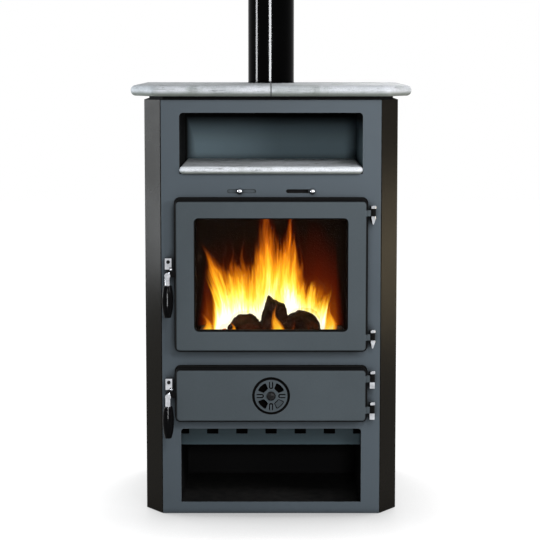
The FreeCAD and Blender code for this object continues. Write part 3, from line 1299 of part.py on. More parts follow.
keep("fire_hinge_brackets", group("FireBrackets", cone_bracket("FireBracketLow", fire_low_lug),
                                  cone_bracket("FireBracketHigh", fire_high_lug)))
keep("fire_hinge_pins", group("FirePins", hinge_pin("FirePinLow", fire_low_lug, "fire_barrel"),
                              hinge_pin("FirePinHigh", fire_high_lug, "fire_barrel")))
keep("ash_hinge_brackets", group("AshBrackets", block_bracket("AshBracketLow", ash_low_lug),
                                 block_bracket("AshBracketHigh", ash_high_lug)))
keep("ash_hinge_pins", group("AshPins", hinge_pin("AshPinLow", ash_low_lug, "ash_barrel"),
                             hinge_pin("AshPinHigh", ash_high_lug, "ash_barrel")))


# Latches: spindle with its cam, chrome lever, moulded grip, keeper and its screw.
def latch_spindle(name, level):
    body = new_body(name)
    shaft = sketch_on(body, "XZ_Plane", "0")
    circle(shaft, "0", "0", "spindle_radius")
    pad(body, shaft, "latch_lug_out - cam_out + latch_lug_thick + fit_gap + spindle_front")
    hub = sketch_on(body, "XZ_Plane", "0")
    circle(hub, "0", "0", "cam_hub")
    pad(body, hub, "cam_thick")
    finger = sketch_on(body, "XZ_Plane", "0")
    rectangle(finger, ("-cam_half", "cam_half"), ("0", "cam_reach"))
    pad(body, finger, "cam_thick")
    turn = around((0, 1, 0), num("cam_tilt"))
    place(body, "latch_x", "front_y - cam_out", level, turn)
    bind(body, ".Placement.Rotation.Angle", "cam_tilt")
    return body


def latch_lever(name, level):
    boss_back = "lug_front - fit_gap"
    boss_front = "%s - lever_boss_long" % boss_back
    boss = rod(name + "_boss", "y", "lever_boss", boss_front, boss_back, "latch_x", level)
    stem = turned(name + "_stem", [
        ("0", "-stem_long - tang_long"),
        ("tang_radius", "-stem_long - tang_long"),
        ("tang_radius", "-stem_long"),
        ("stem_low", "-stem_long"),
        ("stem_top", "0"),
        ("0", "0"),
    ], "latch_x", "grip_y", level)
    bore_front = "%s - spindle_front" % boss_back
    bore = rod(name + "_bore", "y", "spindle_radius", bore_front, boss_back, "latch_x", level)
    return cut(name, fuse(name + "_solid", boss, stem), bore)


def latch_grip(name, level):
    body = turned(name, [
        ("0", "-grip_long"),
        ("grip_low", "-grip_long", "grip_curve"),
        ("grip_top", "0"),
        ("tang_radius", "0"),
        ("tang_radius", "-tang_long"),
        ("0", "-tang_long"),
    ], "latch_x", "grip_y", "%s - stem_long" % level)
    return body


def keeper(name, level):
    left = "latch_x - keeper_width / 2"
    right = "latch_x + keeper_width / 2"
    low = "%s + keeper_rise" % level
    mid = "%s + keeper_rise + keeper_tab" % level
    high = "%s + keeper_rise + keeper_height" % level
    out = "front_y - keeper_out"
    plate_y = ("%s - keeper_thick" % out, out)
    face = block(name + "_face", (left, right), plate_y, (low, high))
    foot = block(name + "_foot", (left, right), (out, "front_y"), (mid, high))
    notch = block(name + "_notch", ("%s - keeper_notch" % right, right), plate_y, (low, mid))
    hole = rod(name + "_hole", "y", "keeper_screw", plate_y[0], "front_y", "latch_x",
               "%s + keeper_screw_rise" % mid)
    return cut(name, fuse(name + "_solid", face, foot), notch, hole)


def keeper_screw(name, level):
    out = "front_y - keeper_out - keeper_thick"
    middle = "%s + keeper_rise + keeper_tab + keeper_screw_rise" % level
    shank = rod(name + "_shank", "y", "keeper_screw", out, "front_y", "latch_x", middle)
    head = rod(name + "_head", "y", "keeper_screw_head", "%s - screw_head_high" % out, out, "latch_x", middle)
    return fuse(name, shank, head)


for door, level in (("fire", "fire_latch"), ("ash", "ash_latch")):
    keep(door + "_latch_spindle", latch_spindle(door.title() + "Spindle", level))
    keep(door + "_latch_lever", latch_lever(door.title() + "Lever", level))
    keep(door + "_latch_grip", latch_grip(door.title() + "Grip", level))
    keep(door + "_latch_keeper", keeper(door.title() + "Keeper", level))
keep("keeper_screws", group("KeeperScrews", keeper_screw("FireKeeperScrew", "fire_latch"),
                            keeper_screw("AshKeeperScrew", "ash_latch")))

doc.recompute()
for obj in doc.Objects:
    if "Invalid" in obj.State or "Error" in obj.State:
        raise RuntimeError("%s did not rebuild: %s" % (obj.Name, obj.State))
os.makedirs("parts", exist_ok=True)
for node, obj in nodes.items():
    if obj.Shape.isNull() or not obj.Shape.isValid():
        raise RuntimeError("%s has no valid shape" % node)
    obj.Shape.exportStep("parts/%s.step" % node)
    print(node, len(obj.Shape.Solids), round(obj.Shape.Volume / 1000, 1), obj.Shape.BoundBox)
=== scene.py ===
import math
import random

import bmesh
import bpy
from mathutils import Matrix, Vector, noise


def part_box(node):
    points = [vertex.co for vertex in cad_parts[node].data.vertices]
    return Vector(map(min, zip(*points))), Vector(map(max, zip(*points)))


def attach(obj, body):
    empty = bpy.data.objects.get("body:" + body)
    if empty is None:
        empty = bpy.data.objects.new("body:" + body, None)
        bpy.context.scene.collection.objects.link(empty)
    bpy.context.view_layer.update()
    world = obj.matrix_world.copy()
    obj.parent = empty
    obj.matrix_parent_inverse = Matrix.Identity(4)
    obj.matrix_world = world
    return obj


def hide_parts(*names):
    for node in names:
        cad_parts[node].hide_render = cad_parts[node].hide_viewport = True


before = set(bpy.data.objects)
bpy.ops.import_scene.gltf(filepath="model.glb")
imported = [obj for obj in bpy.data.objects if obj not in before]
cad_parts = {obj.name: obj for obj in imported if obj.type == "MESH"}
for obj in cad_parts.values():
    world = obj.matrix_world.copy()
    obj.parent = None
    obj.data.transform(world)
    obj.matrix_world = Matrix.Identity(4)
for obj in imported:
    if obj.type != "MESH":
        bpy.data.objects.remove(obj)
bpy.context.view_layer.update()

scene = bpy.context.scene
scene.view_settings.view_transform = "Standard"
looks = {}

# camera, as the photograph was taken
shot = {
    "place": (0.0, -4.45, 1.116),
    "tilt": 84.2,        # degrees from straight down
    "lens": 116.7,
    "sensor": 36.0,
    "shift": (-0.002, -0.068),
    "far": 60,
}
camera = bpy.data.objects.new("camera", bpy.data.cameras.new("camera"))
scene.collection.objects.link(camera)
camera.location = shot["place"]
camera.rotation_euler = (math.radians(shot["tilt"]), 0, 0)
camera.data.lens = shot["lens"]
camera.data.sensor_width = shot["sensor"]
camera.data.shift_x, camera.data.shift_y = shot["shift"]
camera.data.clip_end = shot["far"]
scene.camera = camera
print("camera set")


# short cuts for node trees
def feed(tree, socket, value):
    if isinstance(value, bpy.types.NodeSocket):
        tree.links.new(value, socket)
    elif socket.type == "RGBA" and len(value) == 3:
        socket.default_value = (*value, 1)
    else:
        socket.default_value = value


def addNode(tree, kind, sockets=None, **settings):
    made = tree.nodes.new("ShaderNode" + kind)
    for name, value in settings.items():
        setattr(made, name, value)
    for name, value in (sockets or {}).items():
        feed(tree, made.inputs[name], value)
    return made


def maths(tree, operation, *values):
    made = addNode(tree, "Math", operation=operation)
    for socket, value in zip(made.inputs, values):
        feed(tree, socket, value)
    return made.outputs[0]


def times(tree, first, second):
    return maths(tree, "MULTIPLY", first, second)


def spread(tree, value, low, high, toLow=0.0, toHigh=1.0):
    made = addNode(tree, "MapRange", {
        "Value": value, "From Min": low, "From Max": high, "To Min": toLow, "To Max": toHigh})
    return made.outputs["Result"]


def mixColour(tree, share, first, second):
    made = addNode(tree, "Mix", data_type="RGBA")
    for index, value in ((0, share), (6, first), (7, second)):      # a Mix node's colours are 6 and 7
        feed(tree, made.inputs[index], value)
    return made.outputs[2]


def ramp(tree, value, stops):
    made = addNode(tree, "ValToRGB", {"Fac": value})
    points = made.color_ramp.elements
    for index, (place, colour) in enumerate(stops):
        point = points[index] if index < 2 else points.new(place)      # a new ramp has two points
        point.position = place
        point.color = (*colour, 1)
    return made.outputs["Color"]


def stretched(tree, vector, stretch, turn=(0, 0, 0)):
    made = addNode(tree, "Mapping", {"Vector": vector, "Scale": stretch, "Rotation": turn})
    return made.outputs["Vector"]


def objectPlace(tree, stretch=(1, 1, 1), turn=(0, 0, 0)):
    return stretched(tree, addNode(tree, "TexCoord").outputs["Object"], stretch, turn)


def axes(tree, vector):
    return addNode(tree, "SeparateXYZ", {0: vector}).outputs


def normalOf(tree, kind):
    return addNode(tree, kind).outputs["Normal"]


def cloudy(tree, place, size, detail, rough=0.5, twist=0.0):
    made = addNode(tree, "TexNoise", {
        "Vector": place, "Scale": size, "Detail": detail, "Roughness": rough, "Distortion": twist})
    return made.outputs["Fac"]


def cells(tree, place, size, feature="F1"):
    made = addNode(tree, "TexVoronoi", {"Vector": place, "Scale": size}, feature=feature)
    return made.outputs["Distance"]


def shade(colour, share):
    return tuple(part * share for part in colour)


def newLook(name, plain):
    look = bpy.data.materials.new(name)
    look.use_nodes = True
    looks[name] = look
    shader = look.node_tree.nodes["Principled BSDF"]
    for socket, value in plain.items():
        feed(look.node_tree, shader.inputs[socket], value)
    return look.node_tree, shader


def dress(tree, shader, colour, rough, height, depth):
    feed(tree, shader.inputs["Base Color"], colour)
    feed(tree, shader.inputs["Roughness"], rough)
    relief = addNode(tree, "Bump", {"Height": height, "Distance": depth})
    feed(tree, shader.inputs["Normal"], relief.outputs["Normal"])


# effects that several finishes share
def newGroup(name, inputs, outputs):
    tree = bpy.data.node_groups.new(name, "ShaderNodeTree")
    for label, value in inputs.items():
        socket = tree.interface.new_socket(label, in_out="INPUT", socket_type="NodeSocketFloat")
        socket.default_value = value
    for label in outputs:
        tree.interface.new_socket(label, in_out="OUTPUT", socket_type="NodeSocketFloat")
    return tree, tree.nodes.new("NodeGroupInput").outputs, tree.nodes.new("NodeGroupOutput").inputs


def useGroup(tree, name, **values):
    made = tree.nodes.new("ShaderNodeGroup")
    made.node_tree = bpy.data.node_groups[name]
    for label, value in values.items():
        feed(tree, made.inputs[label], value)
    return made.outputs


def skinOf(tree, sizes):
    return useGroup(tree, "cloudAndGrain", cloudSize=sizes[0], grainSize=sizes[1])


def rubOf(tree, edge):
    return useGroup(tree, "edgeRub", width=edge[0], breakSize=edge[1])["rub"]


# slow clouds and fine grain, from two noises
tree, given, put = newGroup("cloudAndGrain", {"cloudSize": 4.0, "grainSize": 900.0}, ["cloud", "grain"])
place = objectPlace(tree)
feed(tree, put["cloud"], cloudy(tree, place, given["cloudSize"], 4, 0.55, 0.3))
feed(tree, put["grain"], cloudy(tree, place, given["grainSize"], 2, 0.6))

# edges where the finish is rubbed thin
tree, given, put = newGroup("edgeRub", {"width": 0.003, "breakSize": 60.0}, ["rub"])
rounded = addNode(tree, "Bevel", {"Radius": given["width"]}, samples=6).outputs["Normal"]
closeness = addNode(tree, "VectorMath", {
    0: rounded, 1: normalOf(tree, "NewGeometry")}, operation="DOT_PRODUCT")
turned = spread(tree, closeness.outputs["Value"], 0.995, 0.82)
patches = spread(tree, cloudy(tree, objectPlace(tree), given["breakSize"], 4, 0.6), 0.38, 0.62, 0.15, 1)
feed(tree, put["rub"], times(tree, turned, patches))

# dust that settles on what faces up
tree, given, put = newGroup("settledDust", {"amount": 0.3}, ["dust"])
lying = spread(tree, axes(tree, normalOf(tree, "NewGeometry"))["Z"], 0.55, 0.97)
specks = spread(tree, cloudy(tree, objectPlace(tree), 38, 6, 0.7), 0.35, 0.75)
feed(tree, put["dust"], times(tree, times(tree, lying, specks), given["amount"]))

# painted shade in gaps and inner corners, darker the more closed in they are
tree, given, put = newGroup("creviceShading", {"reach": 0.012}, ["shadeAndGrime"])
openness = addNode(tree, "AmbientOcclusion", {"Distance": given["reach"]}, samples=8).outputs["AO"]
uneven = spread(tree, cloudy(tree, objectPlace(tree), 70, 3, 0.6), 0.3, 0.7, 0.88, 1)
feed(tree, put["shadeAndGrime"], times(tree, spread(tree, openness, 0.78, 0.34), uneven))

# soot and heat stain in blotches
tree, given, put = newGroup("sootBloom", {"size": 9.0, "cover": 0.5}, ["soot"])
blotch = cloudy(tree, objectPlace(tree), given["size"], 6, 0.62, 0.6)
border = maths(tree, "SUBTRACT", 0.78, times(tree, given["cover"], 0.6))
feed(tree, put["soot"], spread(
    tree, blotch, maths(tree, "SUBTRACT", border, 0.1), maths(tree, "ADD", border, 0.12)))

# paints: front, sides, rear, niche, heat-proof black, cast doors, air wheel, slotted plate, air slides
# skin is cloud and grain size, thin the tone of rubbed edges, peel the relief, reach how far the painted
# crevice shade spreads
paints = {
    "frontPaint": dict(
        colour=(0.0645, 0.0810, 0.0945), thin=(0.16, 0.17, 0.18), skin=(2.6, 1500), peel=0.00005,
        rough=(0.36, 0.50), gloss=0.14, rub=0.3, dust=0.1, shadeAndGrime=0.95, reach=0.026),
    # litFlank is painted light: a lighter copy of the side paint on the flat sides
    "sidePaint": dict(
        colour=(0.0046, 0.0035, 0.0018), thin=(0.06, 0.052, 0.042), skin=(2.2, 1500), peel=0.000012,
        rough=(0.20, 0.30), gloss=0.023, rub=0.35, dust=0.1, shadeAndGrime=0.9, litFlank=(0.027, 0.0225, 0.0155)),
    "rearPaint": dict(
        colour=(0.020, 0.018, 0.016), thin=(0.12, 0.11, 0.10), skin=(3.0, 1100), peel=0.00008,
        rough=(0.46, 0.62), gloss=0.25, rub=0.45, dust=0.3, shadeAndGrime=0.8),
    # painted light: the niche liner is a lighter copy of the front paint, for the light that reaches into
    # it; shadeAbove and shadeBeyond paint its shade
    "nicheLitShadedPaint": dict(
        colour=(0.158, 0.222, 0.253), thin=(0.10, 0.11, 0.12), skin=(3.4, 1300), peel=0.00005,
        rough=(0.5, 0.66), gloss=0.08, rub=0.15, dust=0.15, shadeAndGrime=0.9, reach=0.03,
        shadeAbove=(0.886, 0.960), shadeBeyond=(-0.196, -0.218)),
    "mattBlack": dict(
        colour=(0.007, 0.007, 0.0072), thin=(0.04, 0.038, 0.035), skin=(5.0, 1200), peel=0.00008,
        rough=(0.6, 0.78), gloss=0.08, rub=0.3, dust=0.06, shadeAndGrime=0.5),
    # shadeBehind and shadeTurned paint shade on the door and wheel castings behind their front and where
    # they turn away
    "doorPaint": dict(
        colour=(0.0620, 0.0757, 0.0836), thin=(0.15, 0.16, 0.17), skin=(4.2, 620), peel=0.00016,
        rough=(0.40, 0.56), gloss=0.06, rub=0.3, dust=0.08, shadeAndGrime=0.9,
        shadeBehind=(-0.2772, -0.2755), shadeTurned=(0.975, 0.80), lugsAcross=(0.2313, 0.0078),
        lugLevels=[(0.4387, 0.0072), (0.7397, 0.0072), (0.2605, 0.008), (0.337, 0.008)]),
    "wheelPaint": dict(
        colour=(0.0620, 0.0757, 0.0836), thin=(0.15, 0.16, 0.17), skin=(9.0, 700), peel=0.00012,
        rough=(0.40, 0.56), gloss=0.06, rub=0.35, dust=0.05, shadeAndGrime=0.95,
        shadeBehind=(-0.2797, -0.2789), shadeTurned=(0.95, 0.75)),
    # painted shade: the slotted plate is a darker copy of the front paint, for the shade of its recess
    "shieldShadedPaint": dict(
        colour=(0.030, 0.048, 0.056), thin=(0.12, 0.13, 0.14), skin=(4.0, 1200), peel=0.00006,
        rough=(0.42, 0.58), gloss=0.15, rub=0.2, dust=0.08, shadeAndGrime=0.9),
    "slidePaint": dict(
        colour=(0.060, 0.074, 0.084), thin=(0.14, 0.14, 0.14), skin=(12.0, 1400), peel=0.00004,
        rough=(0.40, 0.54), gloss=0.15, rub=0.4, dust=0.05, shadeAndGrime=0.9),
}
# what all paints share: shares of their colour, edge wear, usual reach of the painted crevice shade, dulling
# by dust and painted shade; soot is the black that all painted shade mixes to
coat = {
    "deep": 0.84, "pale": 1.22, "grainShare": 0.55, "sideCloudDeep": 0.78, "edge": (0.0022, 55.0),
    "reach": 0.014, "shadeCurve": 1.4, "dull": 0.3,
    "dust": (0.26, 0.245, 0.225), "soot": (0.0028, 0.0027, 0.0027),
}


def paintLook(name, paint):
    tree, shader = newLook(name, {"Specular IOR Level": paint["gloss"]})
    skin = skinOf(tree, paint["skin"])
    clouds = spread(tree, skin["cloud"], 0.3, 0.72)
    tone = mixColour(tree, clouds, shade(paint["colour"], coat["deep"]), paint["colour"])
    fine = spread(tree, skin["grain"], 0.5, 0.8, 0, coat["grainShare"])
    tone = mixColour(tree, fine, tone, shade(paint["colour"], coat["pale"]))
    if "litFlank" in paint:      # painted light: the flat sides get a lighter copy of the paint than the slanted corners
        side = mixColour(tree, clouds, shade(paint["litFlank"], coat["sideCloudDeep"]), paint["litFlank"])
        sideways = maths(tree, "ABSOLUTE", axes(tree, normalOf(tree, "TexCoord"))["X"])
        tone = mixColour(tree, spread(tree, sideways, 0.85, 0.97), tone, side)
    rub = rubOf(tree, coat["edge"])
    tone = mixColour(tree, times(tree, rub, paint["rub"]), tone, paint["thin"])
    dust = useGroup(tree, "settledDust", amount=paint["dust"])["dust"]
    tone = mixColour(tree, dust, tone, coat["dust"])
    # painted shade in the gaps and corners of each painted part
    gapShade = useGroup(tree, "creviceShading", reach=paint.get("reach", coat["reach"]))["shadeAndGrime"]
    shadeAndGrime = times(tree, gapShade, paint["shadeAndGrime"])
    if "shadeBehind" in paint:      # painted shade: castings go black behind their front and where they turn away from it, for the shadow and gaps round them
        spot = axes(tree, objectPlace(tree))
        forward = maths(tree, "ABSOLUTE", axes(tree, normalOf(tree, "TexCoord"))["Y"])
        behind = spread(tree, spot["Y"], *paint["shadeBehind"])
        black = maths(tree, "MAXIMUM", behind, spread(tree, forward, *paint["shadeTurned"]))
        for level, tall in paint.get("lugLevels", []):      # but the painted shade leaves the arms of the hinge lugs grey
            arm = times(tree, maths(tree, "COMPARE", spot["X"], *paint["lugsAcross"]),
                        maths(tree, "COMPARE", spot["Z"], level, tall))
            black = times(tree, black, maths(tree, "SUBTRACT", 1, arm))
        shadeAndGrime = maths(tree, "MAXIMUM", shadeAndGrime, black)
    if "shadeAbove" in paint:      # painted shade under the niche roof and along its left cheek
        spot = axes(tree, objectPlace(tree))
        roofShade = maths(tree, "POWER", spread(tree, spot["Z"], *paint["shadeAbove"]), coat["shadeCurve"])
        cheekShade = spread(tree, spot["X"], *paint["shadeBeyond"])
        shadeAndGrime = maths(tree, "MAXIMUM", shadeAndGrime, maths(tree, "MAXIMUM", roofShade, cheekShade))
    rough = spread(tree, skin["cloud"], 0.3, 0.7, *paint["rough"])
    dull = times(tree, maths(tree, "MAXIMUM", dust, shadeAndGrime), coat["dull"])
    dress(tree, shader, mixColour(tree, shadeAndGrime, tone, coat["soot"]),
          maths(tree, "ADD", rough, dull), skin["grain"], paint["peel"])


for name, paint in paints.items():
    paintLook(name, paint)

# soapstone: grey body, pale talc clouds, green-grey patches, dark drawn-out flecks and lines, fine veins, a
# paler shelf as painted light, painted shade underneath and in creases
stone = {
    "body": (0.415, 0.440, 0.458), "cloud": (0.585, 0.605, 0.635), "green": (0.235, 0.262, 0.245),
    "dark": (0.13, 0.14, 0.14), "vein": (0.56, 0.58, 0.60), "worn": (0.52, 0.54, 0.57),
    "under": (0.12, 0.135, 0.112), "shadeAndGrime": (0.06, 0.064, 0.06), "gloss": 0.22, "rough": (0.46, 0.64),
    "skin": (17.0, 420.0), "grainShare": 0.5, "patchSize": 7.0, "patchShare": 0.8,
    "fleckSize": 250, "fleckDrawn": (0.16, 0.16, 1), "fleckShare": 0.66,
    "lineSize": 420, "lineDrawn": (0.05, 0.08, 1), "lineBreak": 26, "lineShare": 0.75,
    "speckSize": 620, "speckShare": 0.65, "veinSize": 5.5, "veinWidth": 0.012, "veinShare": 0.35,
    "edge": (0.006, 45.0), "edgeShare": 0.4, "underShare": 0.88, "reach": 0.010, "creviceShadeShare": 0.8,
    "pale": (0.72, 0.745, 0.775), "shelfLightShare": 0.75,        # painted light: the shelf is paler than the slabs, for the light that falls on it
    "slabsAbove": (0.99, 1.0), "joint": (0.0026, 0.0010, 0, 0.85),        # dirt in the joint of the slabs
    "pit": -0.8, "relief": 0.00025,
}
tree, shader = newLook("soapstone", {"Specular IOR Level": stone["gloss"]})
skin = skinOf(tree, stone["skin"])
place = objectPlace(tree)
spot = axes(tree, place)
tone = mixColour(tree, spread(tree, skin["cloud"], 0.36, 0.64), stone["body"], stone["cloud"])
slabs = spread(tree, spot["Z"], *stone["slabsAbove"])
shelf = times(tree, maths(tree, "SUBTRACT", 1, slabs), stone["shelfLightShare"])
tone = mixColour(tree, shelf, tone, stone["pale"])
patches = cloudy(tree, place, stone["patchSize"], 5, 0.6, 0.7)
tone = mixColour(tree, spread(tree, patches, 0.52, 0.68, 0, stone["patchShare"]), tone, stone["green"])
drawn = objectPlace(tree, stone["fleckDrawn"])
flecks = spread(tree, cloudy(tree, drawn, stone["fleckSize"], 5, 0.7), 0.58, 0.68)
tone = mixColour(tree, times(tree, flecks, stone["fleckShare"]), tone, stone["dark"])
drawn = objectPlace(tree, stone["lineDrawn"])
lines = spread(tree, cloudy(tree, drawn, stone["lineSize"], 3, 0.6), 0.57, 0.66)
broken = spread(tree, cloudy(tree, place, stone["lineBreak"], 3, 0.6), 0.42, 0.56)
tone = mixColour(tree, times(tree, times(tree, lines, broken), stone["lineShare"]), tone, stone["dark"])
specks = spread(tree, cloudy(tree, place, stone["speckSize"], 2, 0.5), 0.64, 0.74)
tone = mixColour(tree, times(tree, specks, stone["speckShare"]), tone, stone["dark"])
streak = cloudy(tree, objectPlace(tree, (1, 1.6, 1), (0, 0, 0.5)), stone["veinSize"], 7, 0.62, 1.6)
crossing = maths(tree, "ABSOLUTE", maths(tree, "SUBTRACT", streak, 0.5))
veins = spread(tree, crossing, 0.0, stone["veinWidth"], stone["veinShare"], 0)
tone = mixColour(tree, veins, tone, stone["vein"])
tone = mixColour(tree, spread(tree, skin["grain"], 0.45, 0.8, 0, stone["grainShare"]), tone, stone["green"])
rub = rubOf(tree, stone["edge"])
tone = mixColour(tree, times(tree, rub, stone["edgeShare"]), tone, stone["worn"])
# painted shade: the stone is darker where it faces down
upward = axes(tree, normalOf(tree, "NewGeometry"))["Z"]
tone = mixColour(tree, spread(tree, upward, 0.0, -0.55, 0, stone["underShare"]), tone, stone["under"])
# painted shade in the stone's creases, mixed with the dirt in the joint of the slabs
gapShade = useGroup(tree, "creviceShading", reach=stone["reach"])["shadeAndGrime"]
joint = times(tree, spread(tree, maths(tree, "ABSOLUTE", spot["X"]), *stone["joint"]), slabs)
shadeAndGrime = maths(tree, "MAXIMUM", times(tree, gapShade, stone["creviceShadeShare"]), joint)
dress(tree, shader, mixColour(tree, shadeAndGrime, tone, stone["shadeAndGrime"]),
      spread(tree, skin["cloud"], 0.3, 0.7, *stone["rough"]),
      maths(tree, "ADD", skin["grain"], times(tree, flecks, stone["pit"])), stone["relief"])

# bare, sooted and blacked metals
metals = {
    "boilerSteel": dict(
        colour=(0.10, 0.095, 0.09), stain=(0.030, 0.025, 0.022), metal=0.75, gloss=0.5, rough=(0.48, 0.7),
        brush=(6, 6, 160), scale=9.0, cover=0.55, depth=0.00006),
    "sootedSteel": dict(
        colour=(0.0052, 0.0036, 0.0028), stain=(0.015, 0.0085, 0.006), metal=0.1, gloss=0.1,
        rough=(0.7, 0.88), brush=(14, 14, 60), scale=9.0, cover=0.3, depth=0.00012),
    "grateIron": dict(
        colour=(0.055, 0.052, 0.05), stain=(0.10, 0.092, 0.085), metal=0.45, gloss=0.5, rough=(0.62, 0.82),
        brush=(90, 90, 90), scale=22.0, cover=0.4, depth=0.00035),
    "socketSteel": dict(
        colour=(0.50, 0.49, 0.47), stain=(0.20, 0.16, 0.13), metal=1.0, gloss=0.5, rough=(0.26, 0.42),
        brush=(60, 900, 60), scale=40.0, cover=0.25, depth=0.00003),
    "screwSteel": dict(
        colour=(0.52, 0.52, 0.50), stain=(0.27, 0.25, 0.22), metal=1.0, gloss=0.5, rough=(0.28, 0.45),
        brush=(260, 260, 260), scale=90.0, cover=0.3, depth=0.00003),
    "blackBolt": dict(
        colour=(0.007, 0.007, 0.0075), stain=(0.012, 0.012, 0.012), metal=0.0, gloss=0.11,
        rough=(0.20, 0.30), brush=(180, 180, 180), scale=120.0, cover=0.3, depth=0.00003),
}
wear = {
    "deep": 0.72, "stainShare": 0.8, "stainDull": 0.12,
    "edge": (0.0015, 90.0), "edgeShare": 0.6, "bright": 1.9, "brightest": 0.8,
}


def metalLook(name, metal):
    tree, shader = newLook(name, {"Metallic": metal["metal"], "Specular IOR Level": metal["gloss"]})
    stain = useGroup(tree, "sootBloom", size=metal["scale"], cover=metal["cover"])["soot"]
    lines = cloudy(tree, objectPlace(tree, metal["brush"]), 1.0, 5, 0.65)
    deep = shade(metal["colour"], wear["deep"])
    tone = mixColour(tree, spread(tree, lines, 0.3, 0.7), deep, metal["colour"])
    tone = mixColour(tree, times(tree, stain, wear["stainShare"]), tone, metal["stain"])
    rub = rubOf(tree, wear["edge"])
    bright = tuple(min(part, wear["brightest"]) for part in shade(metal["colour"], wear["bright"]))
    tone = mixColour(tree, times(tree, rub, wear["edgeShare"]), tone, bright)
    rough = spread(tree, lines, 0.25, 0.75, *metal["rough"])
    dull = times(tree, stain, wear["stainDull"])
    dress(tree, shader, tone, maths(tree, "ADD", rough, dull), lines, metal["depth"])


for name, metal in metals.items():
    metalLook(name, metal)

# polished plating with finger smears, a faint buffing grain and painted shade in its creases
plating = {
    "clean": (0.57, 0.585, 0.615), "smeared": (0.36, 0.37, 0.39), "creaseShade": (0.02, 0.02, 0.021),
    "skin": (70.0, 2200.0), "reach": 0.007, "creaseShadeShare": 0.9,
    "rough": (0.07, 0.2), "relief": 0.000012,
}
tree, shader = newLook("chrome", {"Metallic": 1.0})
skin = skinOf(tree, plating["skin"])
tone = mixColour(tree, spread(tree, skin["cloud"], 0.35, 0.7), plating["clean"], plating["smeared"])
# painted shade in the creases of the plating
gapShade = useGroup(tree, "creviceShading", reach=plating["reach"])["shadeAndGrime"]
tone = mixColour(tree, times(tree, gapShade, plating["creaseShadeShare"]), tone, plating["creaseShade"])
dress(tree, shader, tone, spread(tree, skin["cloud"], 0.4, 0.75, *plating["rough"]),
      skin["grain"], plating["relief"])

# moulded black grips
grip = {
    "black": (0.0012, 0.0012, 0.0014), "handled": (0.0024, 0.0024, 0.0027), "worn": (0.012, 0.012, 0.012),
    "gloss": 0.026, "skin": (60.0, 1700.0), "edge": (0.0015, 120.0),
    "edgeShare": 0.15, "rough": (0.09, 0.17), "relief": 0.000008,
}
tree, shader = newLook("gripPlastic", {"Specular IOR Level": grip["gloss"]})
skin = skinOf(tree, grip["skin"])
tone = mixColour(tree, spread(tree, skin["cloud"], 0.3, 0.7), grip["black"], grip["handled"])
rub = rubOf(tree, grip["edge"])
tone = mixColour(tree, times(tree, rub, grip["edgeShare"]), tone, grip["worn"])
dress(tree, shader, tone, spread(tree, skin["cloud"], 0.35, 0.75, *grip["rough"]),
      skin["grain"], grip["relief"])

# gloss enamel of the flue pipe, slightly wavy from rolling
enamel = {
    "black": (0.0010, 0.0010, 0.0012), "lighter": (0.0022, 0.0022, 0.0025), "gloss": 0.022,
    "skin": (16.0, 700.0), "dust": 0.1, "rough": (0.05, 0.11),
    "waveSize": 26, "waveDrawn": (1, 1, 0.35), "wave": 0.00012,
}
tree, shader = newLook("pipeEnamel", {"Specular IOR Level": enamel["gloss"]})
skin = skinOf(tree, enamel["skin"])
tone = mixColour(tree, spread(tree, skin["cloud"], 0.3, 0.7), enamel["black"], enamel["lighter"])
dust = useGroup(tree, "settledDust", amount=enamel["dust"])["dust"]
dress(tree, shader, mixColour(tree, dust, tone, coat["dust"]),
      spread(tree, skin["cloud"], 0.35, 0.7, *enamel["rough"]),
      cloudy(tree, objectPlace(tree, enamel["waveDrawn"]), enamel["waveSize"], 2), enamel["wave"])

# door glass with a light film of ash
pane = {"tint": (0.985, 0.985, 0.98), "bend": 1.07, "filmSize": 22, "rough": (0.0, 0.05)}
tree, shader = newLook("doorGlass", {
    "Transmission Weight": 1.0, "IOR": pane["bend"], "Base Color": pane["tint"]})
film = cloudy(tree, objectPlace(tree), pane["filmSize"], 5, 0.6, 0.5)
feed(tree, shader.inputs["Roughness"], spread(tree, film, 0.45, 0.8, *pane["rough"]))

# firebricks: tan vermiculite, pores, mostly under soot
brick = {
    "tan": (0.28, 0.19, 0.12), "pale": (0.37, 0.28, 0.19), "soot": (0.0066, 0.0016, 0.0009), "gloss": 0.1,
    "skin": (18.0, 260.0), "poreSize": 330, "sootSize": 7.0, "sootCover": 0.95,
    "sootShare": 0.97, "rough": (0.8, 0.95), "relief": 0.0006,
}
tree, shader = newLook("firebrick", {"Specular IOR Level": brick["gloss"]})
skin = skinOf(tree, brick["skin"])
pores = spread(tree, cells(tree, objectPlace(tree), brick["poreSize"]), 0.05, 0.3)
tone = mixColour(tree, spread(tree, skin["grain"], 0.35, 0.7), brick["tan"], brick["pale"])
soot = useGroup(tree, "sootBloom", size=brick["sootSize"], cover=brick["sootCover"])["soot"]
tone = mixColour(tree, times(tree, soot, brick["sootShare"]), tone, brick["soot"])
dress(tree, shader, tone, spread(tree, skin["cloud"], 0.3, 0.7, *brick["rough"]),
      times(tree, pores, skin["grain"]), brick["relief"])

